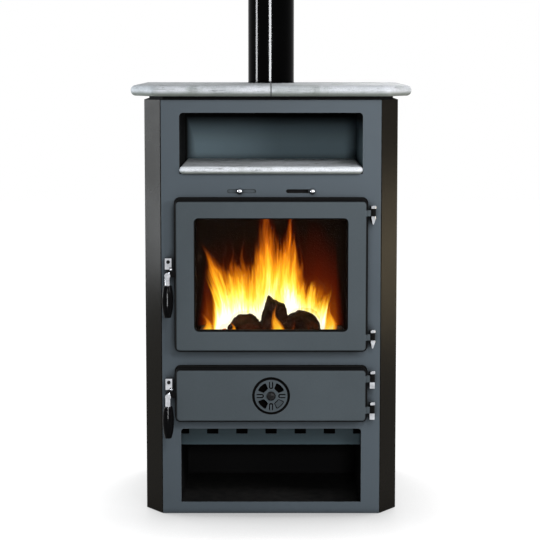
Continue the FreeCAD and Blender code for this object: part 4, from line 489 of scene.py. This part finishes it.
# glass-fibre rope and tape
rope = {
    "clean": (0.40, 0.385, 0.355), "grey": (0.235, 0.225, 0.21), "soot": (0.035, 0.031, 0.028),
    "gloss": 0.2, "sheen": 0.15, "skin": (25.0, 1500.0), "sootSize": 14.0, "sootCover": 0.45,
    "sootShare": 0.75, "rough": (0.78, 0.94), "relief": 0.0003,
}
tree, shader = newLook("sealRope", {"Specular IOR Level": rope["gloss"], "Sheen Weight": rope["sheen"]})
skin = skinOf(tree, rope["skin"])
tone = mixColour(tree, spread(tree, skin["grain"], 0.35, 0.7), rope["grey"], rope["clean"])
soot = useGroup(tree, "sootBloom", size=rope["sootSize"], cover=rope["sootCover"])["soot"]
tone = mixColour(tree, times(tree, soot, rope["sootShare"]), tone, rope["soot"])
dress(tree, shader, tone, spread(tree, skin["cloud"], 0.3, 0.7, *rope["rough"]),
      skin["grain"], rope["relief"])

# charred firewood: checked black skin, ash bloom, embers in the cracks low down
wood = {
    "char": (0.015, 0.0072, 0.0046), "brown": (0.062, 0.025, 0.012), "ash": (0.11, 0.06, 0.035),
    "gloss": 0.015, "skin": (28.0, 240.0), "checkSize": 70, "checkDrawn": (1, 0.35, 1),
    "ashShare": 0.5, "rough": (0.7, 0.95), "grainRelief": 0.4, "relief": 0.0016,
    "emberBelow": (0.415, 0.475, 1, 0), "emberCrack": (0.0, 0.045, 1, 0),
    "ember": [(0.0, (0, 0, 0)), (0.4, (0.12, 0.010, 0.001)), (0.8, (0.55, 0.09, 0.006)),
              (1.0, (1, 0.35, 0.04))],
}
tree, shader = newLook("charredWood", {"Specular IOR Level": wood["gloss"], "Emission Strength": 1.0})
checks = cells(tree, objectPlace(tree, wood["checkDrawn"]), wood["checkSize"], "DISTANCE_TO_EDGE")
skin = skinOf(tree, wood["skin"])
tone = mixColour(tree, spread(tree, skin["cloud"], 0.4, 0.75), wood["char"], wood["brown"])
ashy = times(tree, spread(tree, skin["grain"], 0.58, 0.75), spread(tree, skin["cloud"], 0.5, 0.62))
tone = mixColour(tree, times(tree, ashy, wood["ashShare"]), tone, wood["ash"])
low = spread(tree, axes(tree, objectPlace(tree))["Z"], *wood["emberBelow"])
glow = times(tree, spread(tree, checks, *wood["emberCrack"]), low)
glow = times(tree, glow, spread(tree, skin["cloud"], 0.5, 0.64))
feed(tree, shader.inputs["Emission Color"], ramp(tree, glow, wood["ember"]))
height = maths(tree, "ADD", spread(tree, checks, 0, 0.12), times(tree, skin["grain"], wood["grainRelief"]))
dress(tree, shader, tone, spread(tree, skin["grain"], 0.3, 0.7, *wood["rough"]), height, wood["relief"])

# glowing coals
coal = {
    "black": (0.014, 0.012, 0.011), "ash": (0.20, 0.185, 0.17), "gloss": 0.1,
    "skin": (45.0, 300.0), "rough": (0.75, 0.95), "relief": 0.0008,
    "glow": [(0.0, (0, 0, 0)), (0.3, (0.30, 0.025, 0.002)), (0.65, (1.0, 0.20, 0.015)),
             (1.0, (1, 0.62, 0.16))],
}
tree, shader = newLook("emberCoal", {"Specular IOR Level": coal["gloss"], "Emission Strength": 1.0})
skin = skinOf(tree, coal["skin"])
tone = mixColour(tree, spread(tree, skin["grain"], 0.45, 0.7), coal["black"], coal["ash"])
heat = times(tree, spread(tree, skin["cloud"], 0.42, 0.68), spread(tree, skin["grain"], 0.7, 0.35))
feed(tree, shader.inputs["Emission Color"], ramp(tree, heat, coal["glow"]))
dress(tree, shader, tone, spread(tree, skin["grain"], 0.3, 0.7, *coal["rough"]),
      skin["grain"], coal["relief"])

# the ash that the coals lie in
ash = {
    "grey": (0.16, 0.15, 0.142), "pale": (0.36, 0.345, 0.33), "cinder": (0.02, 0.018, 0.017), "gloss": 0.1,
    "skin": (35.0, 520.0), "rough": (0.85, 0.98), "relief": 0.0012,
}
tree, shader = newLook("woodAsh", {"Specular IOR Level": ash["gloss"]})
skin = skinOf(tree, ash["skin"])
tone = mixColour(tree, spread(tree, skin["cloud"], 0.35, 0.65), ash["grey"], ash["pale"])
tone = mixColour(tree, spread(tree, skin["grain"], 0.62, 0.74), tone, ash["cinder"])
dress(tree, shader, tone, spread(tree, skin["grain"], 0.3, 0.7, *ash["rough"]), skin["grain"], ash["relief"])

# flames: heat falls off towards the top of each sheet, streaks rise through it
flames = {
    "flameCurtain": dict(strength=1.65, heat=0.86, core=0.46, soft=0.46, cover=0.70, edge=0.9, ragged=1.05,
                         streak=(24, 1, 7), lick=(84, 2, 22)),
    "flameBack": dict(strength=1.15, heat=0.62, core=0.25, soft=0.70, cover=0.8, edge=0.8, ragged=0.8,
                      streak=(15, 1, 5), lick=(50, 2, 14)),
    "flameLick": dict(strength=1.1, heat=0.85, core=0.10, soft=0.55, cover=0.85, edge=0.25, ragged=0.6,
                      streak=(3, 1, 14), lick=(8, 2, 40)),
    "flameWisp": dict(strength=0.7, heat=0.45, core=0.0, soft=0.8, cover=0.6, edge=0.15, ragged=0.6,
                      streak=(2, 1, 10), lick=(6, 2, 30)),
    # flameHazeGlow is a faint haze of flame and also painted firelight glow at the back of the firebox
    "flameHazeGlow": dict(strength=0.75, heat=0.17, core=0.06, soft=0.9, cover=0.9, edge=0.88, ragged=0.5,
                      streak=(6, 1, 3), lick=(20, 2, 8)),
}
burn = {
    "coreAt": (0.69, 0.44), "lickShare": 0.55, "edgeLoss": 0.9, "faintest": 0.04, "tip": (0.86, 1.0, 1, 0),
    "layers": 3,        # how fast the pattern changes from one sheet to the next
    "glow": [(0.0, (0.030, 0.0015, 0.0004)), (0.14, (0.17, 0.012, 0.001)), (0.32, (0.70, 0.15, 0.004)),
             (0.52, (0.98, 0.38, 0.012)), (0.72, (1.0, 0.64, 0.045)), (0.88, (1.0, 0.84, 0.24)),
             (1.0, (1.0, 0.96, 0.70))],
}


def flameLook(name, flame):
    tree, shader = newLook(name, {"Base Color": (0, 0, 0), "Specular IOR Level": 0.0, "Roughness": 1.0,
                                  "Emission Strength": flame["strength"]})
    sheet = axes(tree, addNode(tree, "UVMap").outputs["UV"])
    spot = axes(tree, objectPlace(tree))
    climb = addNode(tree, "CombineXYZ", {
        "X": sheet["X"], "Y": times(tree, spot["Y"], burn["layers"]), "Z": spot["Z"]}).outputs[0]
    streaks = cloudy(tree, stretched(tree, climb, flame["streak"]), 1.0, 3, 0.5, 0.5)
    licks = cloudy(tree, stretched(tree, climb, flame["lick"]), 1.0, 3, 0.55, 0.8)
    waver = maths(tree, "ADD", times(tree, maths(tree, "SUBTRACT", streaks, 0.5), flame["ragged"]),
                  times(tree, maths(tree, "SUBTRACT", licks, 0.5), flame["ragged"] * burn["lickShare"]))
    body = maths(tree, "ADD", maths(tree, "SUBTRACT", 1, sheet["Y"]), waver)
    side = maths(tree, "ABSOLUTE", maths(tree, "SUBTRACT", times(tree, sheet["X"], 2), 1))
    body = maths(tree, "SUBTRACT", body, spread(tree, side, flame["edge"], 1.0, 0, burn["edgeLoss"]))
    core = spread(tree, spot["Z"], *burn["coreAt"], 0, flame["core"])
    heat = maths(tree, "ADD", times(tree, body, flame["heat"]), core)
    feed(tree, shader.inputs["Emission Color"], ramp(tree, heat, burn["glow"]))
    solid = spread(tree, body, burn["faintest"], flame["soft"])
    thin = times(tree, solid, spread(tree, sheet["Y"], *burn["tip"]))
    feed(tree, shader.inputs["Alpha"], times(tree, thin, flame["cover"]))


for name, flame in flames.items():
    flameLook(name, flame)
print("finishes made:", len(looks))

# which finish each CAD node takes
finishOf = {
    "frontPaint": ["front_panel"],
    "sidePaint": ["side_panel_left", "side_panel_right"],
    "rearPaint": ["rear_panel"],
    "nicheLitShadedPaint": ["niche_liner"],
    "shieldShadedPaint": ["slotted_shield"],
    "mattBlack": ["base_pan", "top_plate", "top_frame", "front_frame", "air_slide_box", "ash_box",
                  "wood_store_walls", "flue_box", "flue_collar", "log_guard"],
    "soapstone": ["top_slab_left", "top_slab_right", "niche_shelf"],
    "doorPaint": ["fire_door", "ash_door"],
    "wheelPaint": ["air_spinner"],
    "grateIron": ["grate"],
    "sootedSteel": ["water_jacket", "firebox_floor", "firebox_roof", "baffle_plate", "ash_pan"],
    "boilerSteel": ["glass_clips"],
    "socketSteel": ["flow_socket", "return_socket", "small_sockets"],
    "screwSteel": ["rear_panel_screws", "glass_clip_screws", "spinner_nut"],
    "slidePaint": ["air_slide_left", "air_slide_right"],
    "blackBolt": ["spinner_bolt", "keeper_screws"],
    "chrome": ["air_knob_left", "air_knob_right", "fire_hinge_brackets", "fire_hinge_pins",
               "ash_hinge_brackets", "ash_hinge_pins", "fire_latch_spindle", "ash_latch_spindle",
               "fire_latch_lever", "ash_latch_lever", "fire_latch_keeper", "ash_latch_keeper"],
    "gripPlastic": ["fire_latch_grip", "ash_latch_grip"],
    "pipeEnamel": ["flue_pipe"],
    "doorGlass": ["fire_door_glass"],
    "sealRope": ["fire_door_seal", "ash_door_seal", "glass_gasket"],
    "firebrick": ["side_bricks", "rear_brick"],
}
for finish, nodes in finishOf.items():
    for node in nodes:
        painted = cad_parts[node].data.materials
        painted.clear()
        painted.append(looks[finish])
print("finishes given to", sum(len(nodes) for nodes in finishOf.values()), "nodes")


# pieces made here
def addPiece(bm, name, finish, body, smooth=True):
    bmesh.ops.recalc_face_normals(bm, faces=bm.faces)
    mesh = bpy.data.meshes.new(name)
    bm.to_mesh(mesh)
    bm.free()
    piece = bpy.data.objects.new(name, mesh)
    scene.collection.objects.link(piece)
    mesh.materials.append(looks[finish])
    if smooth:
        mesh.shade_smooth()
    else:
        mesh.shade_flat()
    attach(piece, body)
    return piece


def turnAll(bm, angle, axis):
    turn = Matrix.Rotation(math.radians(angle), 3, axis)
    bmesh.ops.rotate(bm, verts=bm.verts, cent=(0, 0, 0), matrix=turn)


# braided rope and flat tape that run round a door in a closed loop
braid = dict(width=0.0076, corner=0.007, bendSteps=6, sides=12, step=0.0019, plait=0.10, pitch=0.0085)
seam = 0.0002        # the loop's two ends merge within this
seals = {
    "fireDoorRope": dict(node="fire_door_seal", body="fire_door_leaf", **braid),
    "ashDoorRope": dict(node="ash_door_seal", body="ash_door_leaf", **braid),
    "glassTape": dict(node="glass_gasket", body="fire_door_leaf", width=0.0086, corner=0.007, bendSteps=6,
                      sides=10, step=0.004, plait=0.03, pitch=0.012),
}


def loopSeal(name, seal):
    lo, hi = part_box(seal["node"])
    half, deep = seal["width"] / 2, (hi.y - lo.y) / 2
    left, right, low, high = lo.x + half, hi.x - half, lo.z + half, hi.z - half
    depth, bend = (lo.y + hi.y) / 2, seal["corner"]
    bm = bmesh.new()
    bmesh.ops.create_circle(bm, radius=1, segments=seal["sides"])
    bmesh.ops.scale(bm, verts=bm.verts, vec=(half, deep, 1))
    for axis in "XZX":      # stand the section across the bottom run
        turnAll(bm, 90, axis)
    bmesh.ops.translate(bm, verts=bm.verts, vec=(left + bend, depth, low))
    last = bm.verts[:] + bm.edges[:]
    across, up = right - left - 2 * bend, high - low - 2 * bend
    runs = [((1, 0, 0), across, (right - bend, depth, low + bend)),
            ((0, 0, 1), up, (right - bend, depth, high - bend)),
            ((-1, 0, 0), across, (left + bend, depth, high - bend)),
            ((0, 0, -1), up, (left + bend, depth, low + bend))]
    for way, length, cent in runs:
        steps = round(length / seal["step"])
        last = bmesh.ops.spin(bm, geom=last, cent=(0, 0, 0), axis=(0, 1, 0), angle=0, steps=steps,
                              dvec=Vector(way) * length / steps)["geom_last"]
        last = bmesh.ops.spin(bm, geom=last, cent=cent, axis=(0, -1, 0), angle=math.radians(90),
                              steps=seal["bendSteps"])["geom_last"]
    bmesh.ops.remove_doubles(bm, verts=bm.verts, dist=seam)
    for vert in bm.verts:      # the plait: two crossing waves round the rope
        upright = min(abs(vert.co.x - left), abs(vert.co.x - right)) < half * 1.01
        if upright:
            along, off = vert.co.z, vert.co.x - (left if vert.co.x < 0 else right)
        else:
            along, off = vert.co.x, vert.co.z - (low if vert.co.z < (low + high) / 2 else high)
        turn = math.atan2((vert.co.y - depth) / deep, off / half)
        wave = 2 * math.pi * along / seal["pitch"]
        grow = 1 - seal["plait"] * (0.5 - 0.5 * math.sin(wave + 2 * turn) * math.sin(wave - 2 * turn))
        vert.co.y = depth + (vert.co.y - depth) * grow
        shift = off * (grow - 1)
        vert.co += Vector((shift, 0, 0)) if upright else Vector((0, 0, shift))
    piece = addPiece(bm, name, "sealRope", seal["body"])
    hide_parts(seal["node"])


for name, seal in seals.items():
    loopSeal(name, seal)
print("rope seals laid:", len(seals))

# firewood: two half-round logs flat side down, a split billet between them, one across the back
logs = {
    "logLeft": dict(radius=0.043, place=(-0.066, -0.020, 0.4165), long=0.25, lean=(1.5, 0, 5), seed=3,
                    cuts=[(0, -1, 0)]),
    "logRight": dict(radius=0.052, place=(0.078, -0.010, 0.4165), long=0.27, lean=(0.5, 0, -6), seed=8,
                     cuts=[(0, -1, 0)]),
    "logSplit": dict(radius=0.080, place=(0.004, 0.012, 0.430), long=0.23, lean=(-1, 0, 3), seed=5,
                     cuts=[(-0.95, 0.32, 0.034), (0.43, 0.90, 0.061), (0.99, 0.15, 0.037), (0, -1, 0.013)]),
    "logBack": dict(radius=0.036, place=(0.005, 0.095, 0.452), long=0.26, lean=(0, 6, 84), seed=11, cuts=[]),
}
bark = {
    "sides": 44, "splitEdge": 0.02, "splitCuts": 9, "steps": 26, "endRim": 0.005, "endDish": 0.002,
    "checks": (55, 55, 22), "checkSharp": 2.5, "checkDeep": 0.003, "swellSize": 30, "swell": 0.005,
    "heart": 0.008,        # points nearer to the axis than this stay
}


def splitLog(name, log):
    bm = bmesh.new()
    bmesh.ops.create_circle(bm, cap_ends=True, radius=log["radius"], segments=bark["sides"])
    for nx, ny, off in log["cuts"]:
        bmesh.ops.bisect_plane(bm, geom=bm.verts[:] + bm.edges[:] + bm.faces[:],
                               plane_co=(nx * off, ny * off, 0), plane_no=(nx, ny, 0), clear_outer=True)
    bmesh.ops.delete(bm, geom=bm.faces[:], context="FACES_ONLY")
    splitSides = [edge for edge in bm.edges if edge.calc_length() > bark["splitEdge"]]
    bmesh.ops.subdivide_edges(bm, edges=splitSides, cuts=bark["splitCuts"])
    bmesh.ops.spin(bm, geom=bm.verts[:] + bm.edges[:], cent=(0, 0, 0), axis=(0, 0, 1), angle=0,
                   steps=bark["steps"], dvec=(0, 0, log["long"] / bark["steps"]))
    rims = [edge for edge in bm.edges if edge.is_boundary]
    ends = bmesh.ops.holes_fill(bm, edges=rims, sides=0)["faces"]
    bmesh.ops.inset_individual(bm, faces=ends, thickness=bark["endRim"], depth=bark["endDish"])
    bmesh.ops.translate(bm, verts=bm.verts, vec=(0, 0, -log["long"] / 2))
    for vert in bm.verts:      # checked, uneven skin
        spot = vert.co + Vector((log["seed"], 0, 0))
        near = noise.voronoi(spot * Vector(bark["checks"]))[0]
        crack = min((near[1] - near[0]) * bark["checkSharp"], 1)
        swell = noise.fractal(spot * bark["swellSize"], 0.9, 2.1, 4)
        out = Vector((vert.co.x, vert.co.y, 0))
        if out.length > bark["heart"]:
            vert.co += out.normalized() * (swell * bark["swell"] - (1 - crack) * bark["checkDeep"])
    turnAll(bm, 90, "X")
    for angle, axis in zip(log["lean"], "XYZ"):
        turnAll(bm, angle, axis)
    bmesh.ops.translate(bm, verts=bm.verts, vec=log["place"])
    addPiece(bm, name, "charredWood", "case")


for name, log in logs.items():
    splitLog(name, log)

# coals and ash on the grate
bed = {
    "half": 0.165, "near": -0.165, "far": 0.118, "floor": 0.4052, "rise": 0.010,
    "coals": 110, "seed": 21, "coalSpread": 0.75, "coalSize": (0.006, 0.013), "coalLift": 0.4,
    "coalShape": [(0.8, 1.5), (0.8, 1.4), (0.55, 0.9)], "coalTurn": (0, 6.28), "coalTilt": (-0.5, 0.5),
    "coalRough": 0.45, "coalRoughSize": 120,
    "ashGrid": (64, 52), "ashPast": (0.02, 0.03), "ashLift": 0.0012, "heapSize": 26, "heapShare": 0.6,
    "heapLeast": 0.1, "rimSlope": 5,
}
random.seed(bed["seed"])
bm = bmesh.new()
for count in range(bed["coals"]):
    size = random.uniform(*bed["coalSize"])
    spot = Vector((random.uniform(-bed["half"], bed["half"]) * bed["coalSpread"],
                   random.uniform(bed["near"], bed["far"]),
                   bed["floor"] + bed["rise"] + size * bed["coalLift"]))
    stretch = Matrix.Diagonal((*(random.uniform(*limits) for limits in bed["coalShape"]), 1))
    turn = Matrix.Rotation(random.uniform(*bed["coalTurn"]), 4, "Z")
    tilt = Matrix.Rotation(random.uniform(*bed["coalTilt"]), 4, "X")
    lump = bmesh.ops.create_icosphere(bm, subdivisions=2, radius=size,
                                      matrix=Matrix.Translation(spot) @ (turn @ tilt) @ stretch)["verts"]
    for vert in lump:
        vert.co += (vert.co - spot) * bed["coalRough"] * noise.noise(vert.co * bed["coalRoughSize"])
addPiece(bm, "emberCoals", "emberCoal", "case", smooth=False)

bm = bmesh.new()
bmesh.ops.create_grid(bm, x_segments=bed["ashGrid"][0], y_segments=bed["ashGrid"][1], size=1)
for vert in bm.verts:
    rim = max(abs(vert.co.x), abs(vert.co.y))
    spot = Vector((vert.co.x * (bed["half"] + bed["ashPast"][0]), (bed["near"] + bed["far"]) / 2
                   + vert.co.y * (bed["far"] - bed["near"] + bed["ashPast"][1]) / 2, bed["floor"]))
    heap = 0.5 + noise.fractal(spot * bed["heapSize"], 0.8, 2, 4) * bed["heapShare"]
    slope = min((1 - rim) * bed["rimSlope"], 1)
    spot.z += bed["ashLift"] + max(heap, bed["heapLeast"]) * bed["rise"] * slope
    vert.co = spot
for part in bmesh.ops.extrude_face_region(bm, geom=bm.faces[:], use_keep_orig=True)["geom"]:
    if isinstance(part, bmesh.types.BMVert):      # the copy is the flat underside
        part.co.z = bed["floor"]
addPiece(bm, "ashBed", "woodAsh", "case")


def flameGrid(columns, rows):
    bm = bmesh.new()
    bmesh.ops.create_grid(bm, x_segments=columns, y_segments=rows, size=1, calc_uvs=False)
    uvs = bm.loops.layers.uv.new("flame")
    for face in bm.faces:
        for loop in face.loops:
            loop[uvs].uv = ((loop.vert.co.x + 1) / 2, (loop.vert.co.y + 1) / 2)
    return bm


# sheets of flame right across the fire; each peak is where it stands, how far it rises, how wide it is
peaks = [(-0.116, 0.225, 0.042), (-0.080, 0.190, 0.080), (-0.012, 0.375, 0.050), (0.015, 0.245, 0.090),
         (0.043, 0.365, 0.032), (0.098, 0.128, 0.085), (0.136, 0.114, 0.022)]
glowPeaks = [(-0.10, 0.25, 0.4), (0.10, 0.29, 0.5)]
curtains = {
    # glowSheet: faint haze at the back that also paints the glow of firelight on the back of the firebox
    "glowSheet": dict(finish="flameHazeGlow", depth=0.098, bow=-0.010, foot=0.412, share=1.0, half=0.192,
                      seed=7, lean=0.0, peaks=glowPeaks),
    "flameSheetBack": dict(finish="flameBack", depth=0.062, bow=-0.030, foot=0.412, share=1.05, half=0.160,
                           seed=2, lean=0.46, peaks=peaks),
    "flameSheetMiddle": dict(finish="flameCurtain", depth=0.018, bow=0.024, foot=0.410, share=0.98,
                             half=0.152, seed=5, lean=0.46, peaks=peaks),
    "flameSheetFront": dict(finish="flameCurtain", depth=-0.030, bow=0.034, foot=0.410, share=0.82,
                            half=0.150, seed=9, lean=0.46, peaks=peaks),
}
sheetForm = {"grid": (96, 36), "blend": 5, "waveSize": (22, 9), "waveAcross": 0.010, "waveDeep": 0.014,
             "leanFrom": 0.2, "leanOutside": 0.115}


def flameSheet(name, curtain):
    bm = flameGrid(*sheetForm["grid"])
    blend, (waveX, waveZ) = sheetForm["blend"], sheetForm["waveSize"]
    for vert in bm.verts:
        side, rise = vert.co.x, (vert.co.y + 1) / 2
        across = side * curtain["half"]
        tips = [high * math.exp(-abs(across - place) / wide) for place, high, wide in curtain["peaks"]]
        climb = sum(tip ** blend for tip in tips) ** (1 / blend) * curtain["share"] * rise
        wave = noise.noise(Vector((across * waveX, climb * waveZ, curtain["seed"])))
        lean = (across * curtain["lean"] * (climb / sheetForm["leanFrom"]) ** 2
                * min(abs(across) / sheetForm["leanOutside"], 1) ** 2)
        bowed = curtain["depth"] + curtain["bow"] * (1 - side * side)
        vert.co = Vector((across + lean + sheetForm["waveAcross"] * wave * rise,
                          bowed + sheetForm["waveDeep"] * wave, curtain["foot"] + climb))
    addPiece(bm, name, curtain["finish"], "case")


for name, curtain in curtains.items():
    flameSheet(name, curtain)

# single flames and faint wisps: root x, tip x, root z, tip z, half width, depth in the firebox, bow, seed
tongues = {
    "flameLick": {
        "flameCornerLeft": (-0.158, -0.166, 0.408, 0.482, 0.024, -0.110, 0.012, 10),
        "flameCornerRight": (0.146, 0.156, 0.408, 0.505, 0.024, -0.060, 0.012, 11),
        "flameFrontSplit": (0.018, 0.008, 0.408, 0.512, 0.027, -0.146, 0.006, 4),
        "flameFrontLog": (-0.094, -0.102, 0.408, 0.468, 0.017, -0.150, 0.006, 6),
    },
    "flameWisp": {
        "wispLogRight": (0.054, 0.050, 0.408, 0.486, 0.012, -0.150, 0.005, 17),
        "wispLogFar": (0.090, 0.094, 0.408, 0.472, 0.010, -0.150, 0.005, 18),
        "wispLeft": (-0.112, -0.128, 0.50, 0.640, 0.016, 0.030, 0.010, 12),
        "wispLeftHigh": (-0.100, -0.107, 0.53, 0.655, 0.012, 0.040, 0.008, 13),
        "wispLeftInner": (-0.068, -0.080, 0.53, 0.680, 0.016, 0.045, 0.010, 16),
        "wispRight": (0.072, 0.080, 0.50, 0.672, 0.016, 0.040, 0.010, 14),
        "wispRightHigh": (0.062, 0.070, 0.55, 0.700, 0.012, 0.050, 0.008, 15),
    },
}
tongueForm = {"grid": (14, 44), "taper": 0.62, "slim": 0.72, "belly": 0.5, "bellyLow": 1.6,
              "sway": 0.010, "swayTurns": 7, "swaySeed": 1.7, "swayDeep": 0.8, "curve": 1.3, "hollow": 0.4}


def flameTongue(name, finish, root, tip, low, high, wide, depth, bow, seed):
    bm = flameGrid(*tongueForm["grid"])
    for vert in bm.verts:
        side, rise = vert.co.x, (vert.co.y + 1) / 2
        bulge = math.sin(math.pi * min(rise * tongueForm["bellyLow"], 1))
        girth = (1 - rise) ** tongueForm["taper"] * (tongueForm["slim"] + tongueForm["belly"] * bulge)
        phase = rise * tongueForm["swayTurns"] + seed * tongueForm["swaySeed"]
        sway = tongueForm["sway"] * math.sin(phase) * rise
        across = root + (tip - root) * rise ** tongueForm["curve"]
        cupped = bow * (side * side - tongueForm["hollow"]) * girth
        vert.co = Vector((across + side * wide * girth + sway,
                          depth + cupped + sway * tongueForm["swayDeep"],
                          low + (high - low) * rise))
    addPiece(bm, name, finish, "case")


for finish, rows in tongues.items():
    for name, row in rows.items():
        flameTongue(name, finish, *row)
print("fire laid:", len(logs), "logs,", len(curtains) + sum(map(len, tongues.values())), "flames")

# studio: pale floor with a soft shadow, white surround, soft lamps
studio = {
    "floor": 9.0, "below": -0.0006, "pale": (0.58, 0.58, 0.58), "lit": (0.12, 0.12, 0.12),
    "shade": 0.36, "lean": (0.8, 0.6), "sides": (0.25, 0.33, 0, 0.34),
    "shadow": [(0.25, 0.32), (0.40, 0.53), (0.62, 0.67), (0.80, 0.82), (0.90, 0.945), (0.94, 1)],
    "ambient": (0.115, 0.118, 0.122), "white": (1, 1, 1),
}
bm = bmesh.new()
bmesh.ops.create_grid(bm, x_segments=1, y_segments=1, size=studio["floor"])
bmesh.ops.translate(bm, verts=bm.verts, vec=(0, 0, studio["below"]))
floorMesh = bpy.data.meshes.new("studioFloor")
bm.to_mesh(floorMesh)
bm.free()
floor = bpy.data.objects.new("studioFloor", floorMesh)
scene.collection.objects.link(floor)


# what the camera, gloss and glass see, and what lights the stove
def seenOrLighting(tree, seen, lighting):
    path = addNode(tree, "LightPath").outputs
    either = maths(tree, "MAXIMUM", path["Is Camera Ray"], path["Is Glossy Ray"])
    chosen = addNode(tree, "MixShader", {
        0: maths(tree, "MAXIMUM", either, path["Is Transmission Ray"]), 1: lighting, 2: seen})
    return chosen.outputs[0]


tree, shader = newLook("paleFloor", {
    "Base Color": studio["pale"], "Roughness": 0.9, "Specular IOR Level": 0.0})
across = axes(tree, objectPlace(tree))["X"]
outward = times(tree, maths(tree, "SIGN", across),
                spread(tree, maths(tree, "ABSOLUTE", across), *studio["sides"]))
lean = addNode(tree, "CombineXYZ", {"X": outward, "Y": studio["lean"][0], "Z": studio["lean"][1]}).outputs[0]
lean = addNode(tree, "VectorMath", {0: lean}, operation="NORMALIZE").outputs[0]
near = addNode(tree, "AmbientOcclusion", {
    "Distance": studio["shade"], "Normal": lean}, samples=24).outputs["AO"]
shadow = ramp(tree, near, [(place, (tone, tone, tone)) for place, tone in studio["shadow"]])
lit = addNode(tree, "BsdfDiffuse", {"Color": studio["lit"]}).outputs[0]
glowing = addNode(tree, "Emission", {"Color": shadow}).outputs[0]
both = addNode(tree, "AddShader", {0: lit, 1: glowing}).outputs[0]
feed(tree, tree.nodes["Material Output"].inputs["Surface"], seenOrLighting(tree, both, shader.outputs[0]))
floorMesh.materials.append(looks["paleFloor"])

scene.world = bpy.data.worlds.new("studio")
scene.world.use_nodes = True
tree = scene.world.node_tree
around = tree.nodes["Background"]
feed(tree, around.inputs["Color"], studio["ambient"])
white = addNode(tree, "Background", {"Color": studio["white"], "Strength": 1.0}).outputs[0]
feed(tree, tree.nodes["World Output"].inputs["Surface"], seenOrLighting(tree, white, around.outputs[0]))

# lamps: the last three strips are for gloss alone
lamps = {
    "frontBox": dict(place=(0.45, -5.2, 1.46), aim=(0, -0.2, 0.75), size=(0.5, 0.45),
                     power=61, tint=(0.98, 0.99, 1)),
    "topBox": dict(place=(0.7, -2.4, 2.2), aim=(0.1, -0.2, 0.7), size=(0.8, 0.5),
                   power=34, tint=(0.97, 0.985, 1)),
    "keyBox": dict(place=(-2.7, -3.9, 2.7), aim=(0, -0.2, 0.65), size=(1.3, 1.3),
                   power=15, tint=(0.96, 0.98, 1)),
    "rightBox": dict(place=(1.30, -1.45, 1.02), aim=(0.25, -0.26, 0.75), size=(0.5, 0.5),
                     power=17, tint=(1, 0.98, 1)),
    "sideStrip": dict(place=(-2.97, -0.28, 1.19), aim=(0, 0.1, 1.19), size=(0.24, 0.4),
                      power=48, tint=(0.88, 0.94, 1)),
    "leftStrip": dict(place=(-3.0, 0.9, 0.80), aim=(-0.29, -0.2, 0.9), size=(0.36, 1.1),
                      power=36, tint=(0.93, 0.97, 1)),
    "rightStrip": dict(place=(3.0, 0.9, 0.3), aim=(0.29, -0.2, 0.6), size=(0.4, 0.6),
                       power=9, tint=(1, 0.80, 0.5)),
    "backFill": dict(place=(1.6, 3.6, 2.3), aim=(0, 0, 0.6), size=(2.4, 2.0),
                     power=90, tint=(1, 1, 1)),
    "pipeFront": dict(place=(-0.103, -1.156, 1.155), aim=(0, 0.04, 1.155), size=(0.23, 0.36),
                      power=125, tint=(0.95, 0.97, 1), gloss=True),
    "gripStrip": dict(place=(-0.28, -1.5, 0.40), aim=(-0.26, -0.33, 0.47), size=(0.24, 0.52),
                      power=62, tint=(0.95, 0.97, 1), gloss=True),
    "pipeSide": dict(place=(-0.927, -0.090, 1.160), aim=(-0.039, 0.054, 1.160), size=(0.155, 0.36),
                     power=42, tint=(0.95, 0.97, 1), gloss=True),
}
# the pipe and the grips mirror the gloss strips, and the pipe mirrors no other lamp
glossLit, plainLit = (bpy.data.collections.new(name) for name in ("glossLit", "plainLit"))
for node in ("flue_pipe", "fire_latch_grip", "ash_latch_grip"):
    glossLit.objects.link(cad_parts[node])
plainLit.objects.link(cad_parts["flue_pipe"])
plainLit.collection_objects[0].light_linking.link_state = "EXCLUDE"
for name, lamp in lamps.items():
    light = bpy.data.lights.new(name, "AREA")
    light.shape = "RECTANGLE"
    light.size, light.size_y = lamp["size"]
    light.energy = lamp["power"]
    light.color = lamp["tint"]
    holder = bpy.data.objects.new(name, light)
    scene.collection.objects.link(holder)
    holder.location = lamp["place"]
    towards = Vector(lamp["aim"]) - Vector(lamp["place"])
    holder.rotation_euler = towards.to_track_quat("-Z", "Y").to_euler()
    holder.visible_camera = False
    holder.visible_diffuse = not lamp.get("gloss", False)
    holder.light_linking.receiver_collection = plainLit if holder.visible_diffuse else glossLit
print("studio lit by", len(lamps), "lamps")
